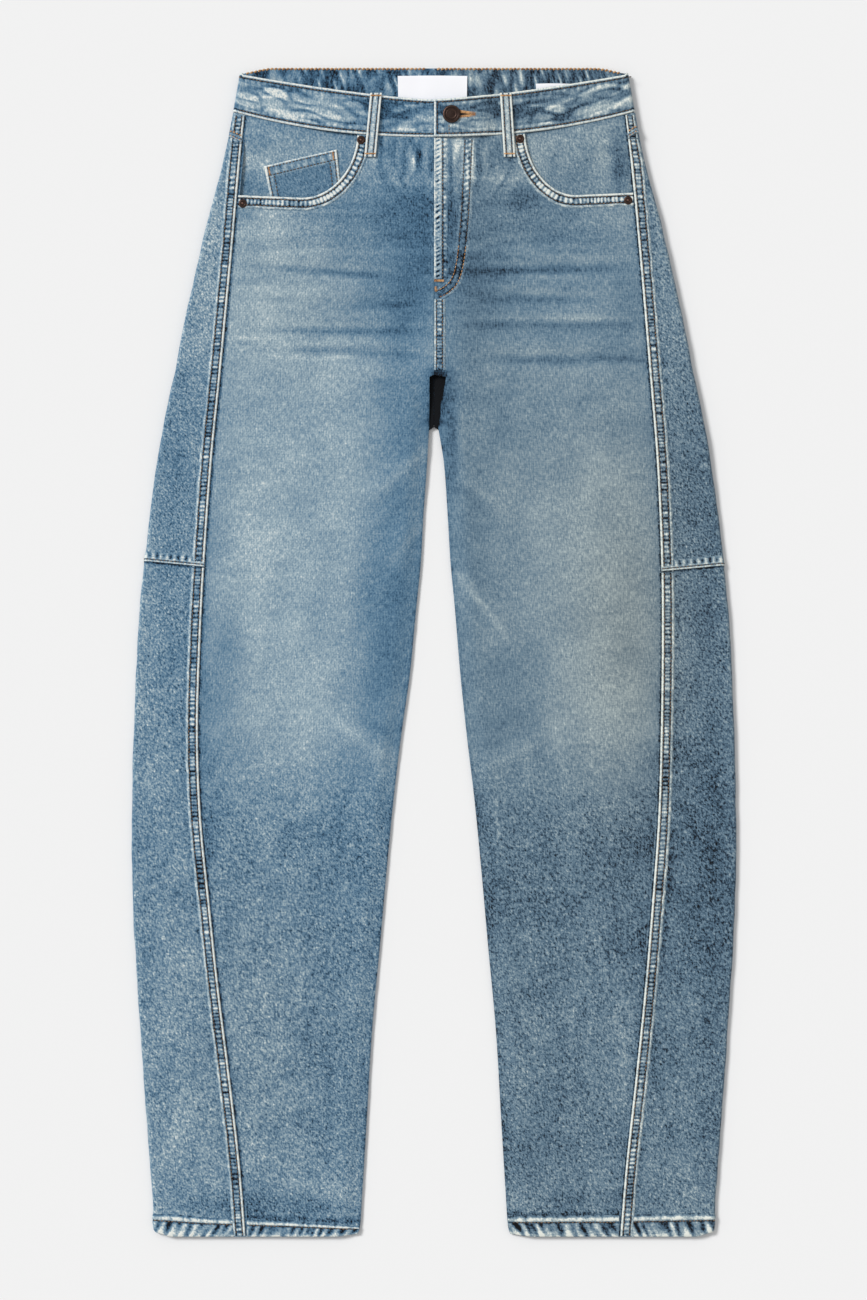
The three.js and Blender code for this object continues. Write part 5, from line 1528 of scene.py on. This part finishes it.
def facing(side):
    """From below the mouth up to the waistband, darker where its edges go under them."""
    up, across = np.linspace(0, 1, 34)[:, None], np.linspace(0, 1, 48)[None, :]
    inner_edge = side["pocket_x"] - 10
    low_y = pocket_mouth(side, 1.0) - 20
    top_x = lerp(inner_edge, seam_x(side, band_low(171)), across)
    y = lerp(low_y, band_low(top_x) - SEAM_GAP, up)
    x = lerp(inner_edge, seam_x(side, y) - SEAM_GAP, across)
    points, normal = facing_surface(side)(x, y)
    sx = x * side["sign"]
    tone = 0.56 + spots(FACING_FADES, sx, y, 2)
    tone = tone + 0.05 * waves(sx, y, 26, 141) + 0.04 * waves(sx, y, 11, 142)
    shade = np.exp(-(((band_low(x) - y) / 2.2) ** 2)) + np.exp(-(((seam_x(side, y) - x) / 2.2) ** 2))
    uv = np.stack([x, y], axis=-1)
    return wall(points, points - normal * WALL, tone - 0.14 * shade, np.full(x.shape, 0.6), uv)


for side in BOTH:
    name = f"pocket_facing_{side['name']}"
    piece = dress(make_piece(f"{name}_denim", [facing(side)], stone_washed), name)

# %% The coin pocket
COIN_TOP = ((87.6, 452.7), (153, 437.6))
COIN_LOW = ((83.2, 412.3), (144.5, 395.7))
COIN_WIDE, COIN_DEEP = 67.1, 41.0
COIN_OFF = np.array([0, 0.4, 1, 1.8, 2.6])
# In from either side edge, and down from the turned top: how high the cloth is, and how worn
COIN_SIDE_HEIGHT = ([0, 0.4, 1, 1.8, 2.8], [-0.4, 0, 0.12, 0, 0])
COIN_SIDE_WEAR = ([0, 1.8, 2.6, 3.4, 5, 6.6, 7.6, 9], [0.5, 0.48, -0.2, 0.16, 0.16, 0.06, -0.2, 0])
COIN_TOP_HEIGHT = ([0, 0.4, 1, 1.8, 2.8, 8, 9.2, 10.4], [-0.4, 0.1, 0.3, 0.15, 0.3, 0.3, 0.1, -0.1])
COIN_TOP_WEAR = ([0, 1, 1.9, 2.6, 3.4, 8, 9, 10, 11], [0.5, 0.5, 0, 0.02, 0.16, 0.16, -0.1, 0.24, 0])
COIN_TOP_ROWS, COIN_SIDE_ROWS = (2.0, 8.8), (2.6, 7.6)


def coin_surface(a, b):
    """a is millimetres along the pocket from its inner side, and b millimetres down from its top."""
    across, down = np.asarray(a) / COIN_WIDE, np.asarray(b) / COIN_DEEP
    top = [lerp(COIN_TOP[0][k], COIN_TOP[1][k], across) for k in (0, 1)]
    low = [lerp(COIN_LOW[0][k], COIN_LOW[1][k], across) for k in (0, 1)]
    x, y = lerp(top[0], low[0], down), lerp(top[1], low[1], down)
    points = place(RIGHT, x, y, facing_level(RIGHT, x, y) + COIN_GAP + COIN_WALL)
    return points, straight(points)


def coin_pocket():
    """The patch, with its sewing: two rows under the top, two down each side, and two bar tacks."""
    a = np.concatenate([COIN_OFF, np.arange(4, 64, 1.4), COIN_WIDE - COIN_OFF[::-1]])[None, :]
    b = np.concatenate([COIN_OFF, [3.6], np.arange(4.6, 12, 0.9), np.arange(13, 42, 2)])[:, None]
    points, normal = coin_surface(a, b)
    off = np.minimum(a, COIN_WIDE - a) + 0 * b
    ladder = np.sin(a * 2 * math.pi / 7 + 2 * ripples(a, 40, 151))
    ladder = ladder * smoothstep(b, 2, 3.5) * (1 - smoothstep(b, 7.5, 9))
    height = np.interp(off, *COIN_SIDE_HEIGHT) + np.interp(b, *COIN_TOP_HEIGHT) + 0.1 * ladder
    tone = 0.42 + 0.03 * waves(a, b, 14, 152) + 0.16 * ladder
    tone = tone + np.interp(off, *COIN_SIDE_WEAR) + np.interp(b, *COIN_TOP_WEAR)
    along, outer = np.arange(1, COIN_WIDE - 0.8, 1.0), COIN_SIDE_ROWS[0]
    for row in COIN_TOP_ROWS:
        stitch_row("brown", coin_surface, along, 0 * along + row, 0.22, share=0.72, thick=1.2)
    for row in (*COIN_SIDE_ROWS, *(COIN_WIDE - at for at in COIN_SIDE_ROWS[::-1])):
        line = np.arange(1 if min(row, COIN_WIDE - row) < outer + 0.1 else 9.4, 40, 1.0)
        stitch_row("brown", coin_surface, 0 * line + row, line, 0.15)
    for at in (3.8, COIN_WIDE - 3.8):
        tack("gold", coin_surface, at, 5.2, 1.6, 90, 7, lift=0.45)
    points = points + normal * height[..., None]
    uv = np.stack(np.broadcast_arrays(a, b), axis=-1)
    return wall(points, points - normal * (COIN_WALL - 0.1), tone, np.full(tone.shape, 0.6), uv)


piece = dress(make_piece("coin_pocket_denim", [coin_pocket()], stone_washed), "coin_pocket")

# %% [markdown]
# ## Belt loops and back pockets
# A loop is a strip folded in three with two rows down it, arched so that a belt passes. Its two raised
# edges are the whitest places on the trousers. The back loops and patch pockets face the surface, and the
# seat lies on them.

# %% Loops
LOOP_OFF = np.array([0, 0.8, 1.5, 1.9, 2.3, 2.65, 3.0, 3.4, 4.0, 4.6, 5.05, 5.2])
LOOP_T = np.concatenate([-LOOP_OFF[:0:-1], LOOP_OFF])
LOOP_HEIGHT = np.interp(
    np.abs(LOOP_T), LOOP_OFF, [0.05, 0.05, 0.06, 0.04, -0.1, -0.22, -0.1, 0.12, 0.2, 0.24, 0.05, -0.4]
)
LOOP_WEAR = np.interp(
    np.abs(LOOP_T), LOOP_OFF, [0.84, 0.82, 0.76, 0.6, 0.12, 0.0, 0.12, 0.8, 1.06, 1.1, 1.06, 0.9]
)
LOOP_WALL, LOOP_ROWS = 1.5, (-2.65, 2.65)
LOOP_LOW, LOOP_TOP, BACK_LOOP_LONG = 445.5, 503, 52
FRONT_LOOPS = ((LEFT, 64.4, 68), (RIGHT, 52, 57.5))


def sew_loop(surface, low, high, tacks, lift, tack_lift, thick=1.0):
    """Two rows down a loop, and a bar tack near each end."""
    line = np.arange(low + 1, high - 1, 1.0)
    for at in LOOP_ROWS:
        stitch_row("brown", surface, 0 * line + at, line, lift, pitch=2.6, thick=thick)
    for at in tacks:
        tack("gold", surface, 0.0, at, 1.7, 0, 9, lift=tack_lift)


def front_loop(side, top_x, low_x):
    """It is sewn down below the waistband, climbs over it, and ends on its top edge."""
    rest = float(top_level(side, low_x, LOOP_LOW)) + 0.45
    path = np.array([
        (LOOP_TOP, 7.8), (497, 7.8), (485, 8.7), (471, 8.7), (457.5, rest + 0.45), (450.5, rest),
        (LOOP_LOW, rest),
    ])

    def surface(a, b):
        a, b = np.broadcast_arrays(a, b)
        x = lerp(low_x, top_x, (b - LOOP_LOW) / (LOOP_TOP - LOOP_LOW)) + a * side["sign"]
        points = place(side, x, b, read_smooth(path, 1, b) + LOOP_WALL)
        slope = read_smooth(path, 1, b + 0.5) - read_smooth(path, 1, b - 0.5)
        normal = np.stack([0 * slope, -slope, 0 * slope + 1], axis=-1)
        return points, normal / np.linalg.norm(normal, axis=-1, keepdims=True)

    ends = np.array([0, 0.3, 0.9])
    middle = np.arange(LOOP_LOW + 1.9, LOOP_TOP - 1, 1.2)
    y = np.concatenate([LOOP_LOW + ends, middle, LOOP_TOP - np.array([1, 0.4, 0])])[:, None]
    points, normal = surface(LOOP_T[None, :], y)
    off_end = np.minimum(y - LOOP_LOW, LOOP_TOP - y)
    crumple = 0.06 * waves(y, LOOP_T * 2, 9, 160 + side["sign"])
    height = LOOP_HEIGHT + np.interp(off_end, [0, 0.3, 0.9, 2], [-0.4, 0, 0.12, 0]) + crumple
    tone = LOOP_WEAR + 0.9 * crumple + 0.12 * np.exp(-((off_end / 1.5) ** 2))
    sew_loop(surface, LOOP_LOW, LOOP_TOP, (448.4, 500.6), 0.02, 0.25)
    uv = np.stack(np.broadcast_arrays(LOOP_T, y), axis=-1)
    outer, inner = points + normal * height[..., None], points - normal * (LOOP_WALL - 0.05)
    return wall(outer, inner, tone, 0.6 + 0 * tone, uv)


def back_loop(x):
    """A flat loop under the back of the waistband, facing the surface."""
    top = float(band_back_top(abs(x))) - 1
    low = top - BACK_LOOP_LONG

    def surface(a, b):
        a, b = np.broadcast_arrays(a, b)
        points = np.stack([x + a, b, 0 * a + 0.15], axis=-1).astype(float)
        return points, straight(points, -1.0)

    y = np.concatenate([[0, 0.4, 1], np.arange(2.4, 51, 1.6), [51, 51.6, 52]])[:, None] + low
    points, normal = surface(LOOP_T[None, :], y)
    off_end = np.minimum(y - low, top - y)
    height = np.minimum(LOOP_HEIGHT, 0.1) + np.interp(off_end, [0, 0.4, 1], [-0.4, 0, 0])
    sew_loop(surface, low, top, (low + 2.5, top - 2.5), -0.05, 0.0, thick=0.5)
    uv = np.stack(np.broadcast_arrays(LOOP_T, y), axis=-1)
    tone = LOOP_WEAR - 0.06 + 0 * y
    outer, inner = points + normal * height[..., None], points + np.array([0, 0, 1.0])
    return wall(outer, inner, tone, 0.6 + 0 * tone, uv)


for side, top_x, low_x in FRONT_LOOPS:
    name = f"belt_loop_front_{side['name']}"
    piece = make_piece(f"{name}_denim", [front_loop(side, top_x, low_x)], stone_washed)
    dress(piece, name)
for name, x in (("left", 112), ("centre", -2.5), ("right", -112)):
    name = f"belt_loop_back_{name}"
    piece = dress(make_piece(f"{name}_denim", [back_loop(x)], stone_washed), name)

# %% Back pockets
POCKET_HALF_TOP, POCKET_HALF_LOW, POCKET_SIDE, POCKET_POINT = 73, 64, 136, 18
POCKET_MIDDLE, POCKET_TOP_Y, POCKET_TILT = 92, 405, -3
# Steps in from its edge and down its turned top, and the sizes that turn shares into millimetres
POCKET_OFF = np.array([0, 0.4, 1, 1.8, 2.8, 4.5, 6.5, 8.2, 9, 10])
POCKET_HEM = np.array([0, 0.5, 1.2, 2, 3, 6, 10, 14, 17, 18, 19, 20.5])
POCKET_HALF_MM, POCKET_SIDE_MM, POCKET_LONG_MM = 68, 145, 150


def back_pocket(side):
    """A patch with a pointed lower edge, turned in all round and sewn with two rows."""
    turn = math.radians(POCKET_TILT * side["sign"])

    def surface(a, b):
        """a is the share out from the pocket's middle, -1 to 1, and b the share down to its lower edge."""
        a, b = np.broadcast_arrays(a, b)
        down = b * (POCKET_SIDE + POCKET_POINT * (1 - np.abs(a)))
        x, y = a * lerp(POCKET_HALF_TOP, POCKET_HALF_LOW, down / POCKET_SIDE), -down
        c, s = math.cos(turn), math.sin(turn)
        px, py = side["sign"] * POCKET_MIDDLE + x * c - y * s, POCKET_TOP_Y + x * s + y * c
        points = np.stack([px, py, 0 * px + 0.35], axis=-1)
        return points, straight(points, -1.0)

    half = POCKET_OFF / POCKET_HALF_TOP
    a = np.concatenate([half - 1, np.arange(-0.83, 0.84, 0.045), (1 - half)[::-1]])[None, :]
    low = 1 - POCKET_OFF[::-1] / POCKET_LONG_MM
    b = np.concatenate([POCKET_HEM / POCKET_LONG_MM, np.arange(0.16, 0.92, 0.022), low])[:, None]
    points, normal = surface(a, b)
    off = np.minimum((1 - np.abs(a)) * POCKET_HALF_MM, (1 - b) * POCKET_SIDE_MM)
    top = b * POCKET_LONG_MM
    height = np.interp(off, [0, 0.4, 1, 1.8, 2.8, 8, 9, 10.5], [-0.5, 0, 0.15, 0, 0.1, 0.1, 0, 0])
    height = height + np.interp(top, [0, 0.5, 1.2, 18, 19, 20.5], [-0.5, 0.05, 0.15, 0.12, 0, 0])
    middle = np.exp(-((a / 0.6) ** 2) - ((b - 0.5) / 0.35) ** 2)
    tone = 0.56 + 0.05 * waves(a * 70, b * 140, 30, 171) + 0.08 * middle
    tone = tone + np.interp(off, [0, 1, 2, 3, 8, 9, 10], [0.36, 0.36, 0, -0.04, -0.04, 0.14, 0])
    tone = tone + np.interp(top, [0, 1, 2, 3, 17, 19, 20.5], [0.34, 0.34, 0.05, 0, 0, 0.2, 0])
    for inset in (2.2, 8.4):
        across, down = inset / POCKET_HALF_MM, inset / POCKET_SIDE_MM
        line = np.linspace(0.005, 1 - down, 150)
        for sign in (-1, 1):
            stitch_row("brown", surface, 0 * line + sign * (1 - across), line, -0.02, thick=0.5)
        line = np.linspace(-1 + across, 1 - across, 150)
        stitch_row("brown", surface, line, 0 * line + 1 - down, -0.02, thick=0.5)
    line = np.linspace(-0.97, 0.97, 150)
    for drop in (2.2, 18.2):
        stitch_row("brown", surface, line, 0 * line + drop / POCKET_LONG_MM, 0.02, thick=0.5)
    uv = np.stack(np.broadcast_arrays(a * 70, b * 140), axis=-1)
    outer = points + normal * height[..., None]
    return wall(outer, points + np.array([0, 0, 0.8]), tone, 0.8 + 0 * tone, uv)


for side in BOTH:
    name = f"back_pocket_{side['name']}"
    piece = dress(make_piece(f"{name}_denim", [back_pocket(side)], stone_washed), name)

# %% [markdown]
# ## Labels
# Two folded labels of white polyester satin hang from the back of the waistband. They stay blank.

# %% Blank satin labels
SATIN_RIB_MM = 0.7  # the real ribs are a third of that, too fine to show


def satin(name):
    """Woven satin: white and smooth, with a soft sheen from the threads that float over its face."""
    material, tree, surface = new_material(name)
    pattern = node(tree, "UVMap", {"uv_map": "pattern"}).outputs["UV"]
    fine = node(
        tree, "TexWave", {"bands_direction": "Y"}, Vector=pattern,
        Scale=math.pi / 10 / (SATIN_RIB_MM * MM),
    ).outputs["Fac"]
    colour = ramp(tree, fine, [(0.0, "#F1F1F5"), (1.0, "#F6F6F9")])
    bump = node(tree, "Bump", Strength=0.25, Distance=0.0001, Height=fine).outputs["Normal"]
    shader = node(tree, "BsdfPrincipled", Base_Color=colour, Roughness=0.5, Normal=bump)
    shader.inputs["Sheen Weight"].default_value = 0.3
    tree.links.new(shader.outputs[0], surface)
    return material


white_satin = satin("white_woven_satin")
# x from and to, y from and to
LABELS = (("waist_label", -32.4, 29.7, 494, 519), ("care_label", 92, 122, 490, 512))
LABEL_Z, LABEL_WALL = 4.55, 0.45
for name, x0, x1, y0, y1 in LABELS:
    u = np.linspace(0, 1, max(8, int((x1 - x0) / 1.6)))[None, :]
    v = np.concatenate([np.linspace(0, 0.9, 14), [0.95, 0.985, 1.0]])[:, None]
    x = lerp(x0, x1, u) + 0.5 * (v - 0.5) * (2 * u - 1)
    y = lerp(y0, y1, v) + 0.35 * np.sin(u * math.pi)
    z = LABEL_Z + 0.16 * waves(x, y, 28, 181) - 0.25 * smoothstep(v, 0.94, 1)
    face = np.stack(np.broadcast_arrays(x, y, z), axis=-1)
    uv = np.stack(np.broadcast_arrays(x, y), axis=-1)
    part = wall(face, face - np.array([0, 0, LABEL_WALL]), 0 * z, 0 * z, uv)
    piece = dress(make_piece(f"{name}_satin", [part], white_satin), name)

# %% [markdown]
# ## Seams on the hidden sides
# The same felled seams run down the centre back and along the yoke, and the knee seam and the hem go on
# round the underside. Where the cloth lies flat on the surface they can't stand proud, so there only the
# stitches show.

# %% Seams of the seat and underside
def under_w(side, y, x):
    """Distance from the front seam, round the fold, to a place x on the underside."""
    edge, turn, radius = wrap_lengths(side, y)
    return turn - edge + math.pi * radius + (turn - x)


hidden_seams = {}
for side in BOTH:
    edge, turn, radius = wrap_lengths(side, side["yoke"])
    x = np.arange(2.0, float(turn) - 2, 0.9)
    y = lerp(YOKE_CENTRE, side["yoke"], np.clip(x / float(turn), 0, 1))
    yoke_seam = felled_band(on_wrap(side), under_w(side, y, x), y - 0.2, 190, wear_and_shade=0.05)
    hidden_seams[f"yoke_seam_{side['name']}"] = yoke_seam
    x = np.arange(float(inner_x(side, side["knee"])) + 3, float(fold_x(side["knee"])) - 3, 1.0)
    y = 0 * x + side["knee"] + 2.3
    stitch_row("gold", on_wrap(side), under_w(side, y, x), y, -0.12, thick=0.5)
    x = np.arange(float(inner_x(side, HEM_Y)) + 2, float(fold_x(HEM_Y)) - 2, 1.0)
    y = hem_row(side, x)
    stitch_row("brown", on_wrap(side), under_w(side, y, x), y, -0.12, thick=0.5)
y = np.arange(205, 488, 0.9)
middle_w = under_w(LEFT, y, 0.3 + 0 * y)
hidden_seams["seat_seam"] = felled_band(on_wrap(LEFT), middle_w[::-1], y[::-1], 194, wear_and_shade=0.05)
print("seams on the seat:", len(hidden_seams))
for name, part in hidden_seams.items():
    piece = make_piece(name, [part], stone_washed)
    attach(piece, "root")

# %% All the thread, in its two colours
for name, material in (("brown", brown_thread), ("gold", gold_thread)):
    piece = make_piece(f"{name}_topstitching", threads[name], material)
    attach(piece, "root")

# %% [markdown]
# ## Button and rivets
# The shank button and the rivets are pressed from copper-plated metal, blackened and then rubbed, so the
# rims and the middle shine through. Each starts as a disc whose top face is inset and raised, ring by ring.

# %% Antique copper
PATINA_MM = 1.4


def antique_copper(name):
    """Blackened copper: a dark patina in the rings, and bare metal where an attribute says it is rubbed."""
    material, tree, surface = new_material(name)
    coordinate = node(tree, "TexCoord").outputs["Object"]
    patina = node(
        tree, "TexNoise", Vector=coordinate, Scale=1000 / PATINA_MM, Detail=3.0
    ).outputs["Fac"]
    rub = node(tree, "Attribute", {"attribute_name": "rub"}).outputs["Fac"]
    spotty = node(tree, "Math", {"operation": "MULTIPLY_ADD"}, n0=patina, n1=0.5, n2=-0.25)
    mixed = node(tree, "Math", {"operation": "ADD"}, n0=rub, n1=spotty.outputs[0]).outputs[0]
    colour = ramp(tree, mixed, [(0.0, "#29201D"), (0.45, "#4C3A33"), (0.8, "#866559"), (1.0, "#C4A08E")])
    bump = node(tree, "Bump", Strength=0.3, Distance=0.0001, Height=patina).outputs["Normal"]
    shader = node(
        tree, "BsdfPrincipled", Base_Color=colour, Metallic=0.85, Roughness=0.42, Normal=bump
    )
    tree.links.new(shader.outputs[0], surface)
    return material


copper = antique_copper("antique_copper")
print("metal:", copper.name)


# %% Pressed discs
def pressed_disc(name, centre, radius, base, rings, neck=None):
    """A disc at centre whose top is inset and raised ring by ring. neck does the same to its underside."""
    bpy.ops.object.select_all(action="DESELECT")
    x, y, z = (value * MM for value in centre)
    bpy.ops.mesh.primitive_cylinder_add(
        vertices=48, radius=radius * MM, depth=base * MM, location=(x, y, z + base * MM / 2)
    )
    disc = bpy.context.object
    disc.name = disc.data.name = name
    for way, steps in ((1, rings), (-1, neck or [])):
        bpy.ops.object.mode_set(mode="EDIT")
        bpy.ops.mesh.select_mode(type="FACE")
        bpy.ops.mesh.select_all(action="DESELECT")
        bpy.ops.object.mode_set(mode="OBJECT")
        for face in disc.data.polygons:
            face.select = face.normal.z * way > 0.9
        bpy.ops.object.mode_set(mode="EDIT")
        for inset, rise in steps:
            if inset:
                bpy.ops.mesh.inset(thickness=inset * MM, depth=rise * MM)
            else:
                bpy.ops.mesh.extrude_region_move(TRANSFORM_OT_translate={"value": (0, 0, rise * MM * way)})
        bpy.ops.object.mode_set(mode="OBJECT")
    bpy.ops.object.transform_apply(location=True, rotation=True, scale=True)
    soften = disc.modifiers.new("soft_edges", "BEVEL")
    soften.width, soften.segments = 0.12 * MM, 2
    soften.limit_method, soften.angle_limit = "ANGLE", math.radians(25)
    bpy.ops.object.modifier_apply(modifier=soften.name)
    bpy.ops.object.shade_smooth_by_angle(angle=math.radians(45))
    disc.data.materials.append(copper)
    return disc


def rub_down(disc, centre, places):
    """Marks where metal shows: places are radius, half width and how bare."""
    count = len(disc.data.vertices)
    at = np.empty(count * 3, dtype=np.float32)
    disc.data.vertices.foreach_get("co", at)
    at = at.reshape(-1, 3) / MM
    out = np.hypot(at[:, 0] - centre[0], at[:, 1] - centre[1])
    bare = sum(much * np.exp(-(((out - r) / half) ** 2)) for r, half, much in places) + 0.15
    disc.data.attributes.new("rub", "FLOAT", "POINT").data.foreach_set("value", bare.astype(np.float32))


# Inset and rise of each ring
BUTTON_RINGS = [
    (0.5, 0.55), (0.9, 0.25), (0.5, 0.0), (0.5, -0.45), (0.7, 0.0), (0.35, 0.35), (0.5, 0.0), (0.4, -0.3),
    (1.2, 0.15), (1.2, 0.2),
]
at = (*BUTTON_AT, 10.6)
button = pressed_disc("shank_button", at, 8, 0.9, BUTTON_RINGS, neck=[(5.6, 0.0), (0, 2.7)])
rub_down(button, at, [(7.2, 0.5, 0.35), (3.9, 0.5, 0.25), (0, 1.0, 0.3)])
dress(button, "button")
print("button faces:", len(button.data.polygons))

RIVETS = (("left_waist", LEFT, 77.4, 461.8), ("left_side", LEFT, 174.6, 406.5),
          ("right_waist", RIGHT, 65.6, 460.8), ("right_side", RIGHT, 171.9, 403.7))
RIVET_RINGS = [(0.7, 0.5), (1.0, 0.12), (0.5, -0.2), (0.35, 0.1), (0.3, 0.45), (0.4, 0.15)]
for name, side, x, y in RIVETS:
    at = (x * side["sign"], y, float(top_level(side, x, y)) + 0.3)
    rivet = pressed_disc(f"copper_rivet_{name}", at, 3.9, 0.7, RIVET_RINGS)
    rub_down(rivet, at, [(3.2, 0.4, 0.3), (0, 0.9, 0.8)])
    dress(rivet, f"rivet_{name}")

# %% [markdown]
# ## Floor, camera and light
# The picture is taken straight down with a long lens on a pale floor. A broad key light from the upper left
# gives the short soft shadow to the right and below the hems, and an even white world fills the rest.

# %% Stage
bpy.ops.object.select_all(action="DESELECT")
bpy.ops.mesh.primitive_plane_add(size=12, location=(0, 0, -0.0004))
floor = bpy.context.object
floor.name = "floor"
material, tree, surface = new_material("pale_matt_floor")
paper = node(tree, "BsdfPrincipled", Base_Color=linear("#EDEDED"), Roughness=0.95)
paper.inputs["Specular IOR Level"].default_value = 0.1
tree.links.new(paper.outputs[0], surface)
floor.data.materials.append(material)

camera_data = bpy.data.cameras.new("camera")
camera_data.lens, camera_data.sensor_width, camera_data.clip_end = 85, 36, 50
camera = bpy.data.objects.new("camera", camera_data)
camera.location = (-0.00045, 0.00225, 2.7675)
bpy.context.scene.collection.objects.link(camera)
bpy.context.scene.camera = camera

key_data = bpy.data.lights.new("key", "SUN")
key_data.energy, key_data.angle = 2.5, math.radians(18)
key = bpy.data.objects.new("key", key_data)
key.rotation_euler = (math.radians(-26), math.radians(-44), 0)
bpy.context.scene.collection.objects.link(key)

world = bpy.data.worlds.new("studio")
world.use_nodes = True
world.node_tree.nodes["Background"].inputs["Color"].default_value = (1, 1, 1, 1)
world.node_tree.nodes["Background"].inputs["Strength"].default_value = 0.53
bpy.context.scene.world = world
bpy.context.scene.view_settings.view_transform = "Standard"

print("camera:", round(camera.location.z, 3), "m above the surface")
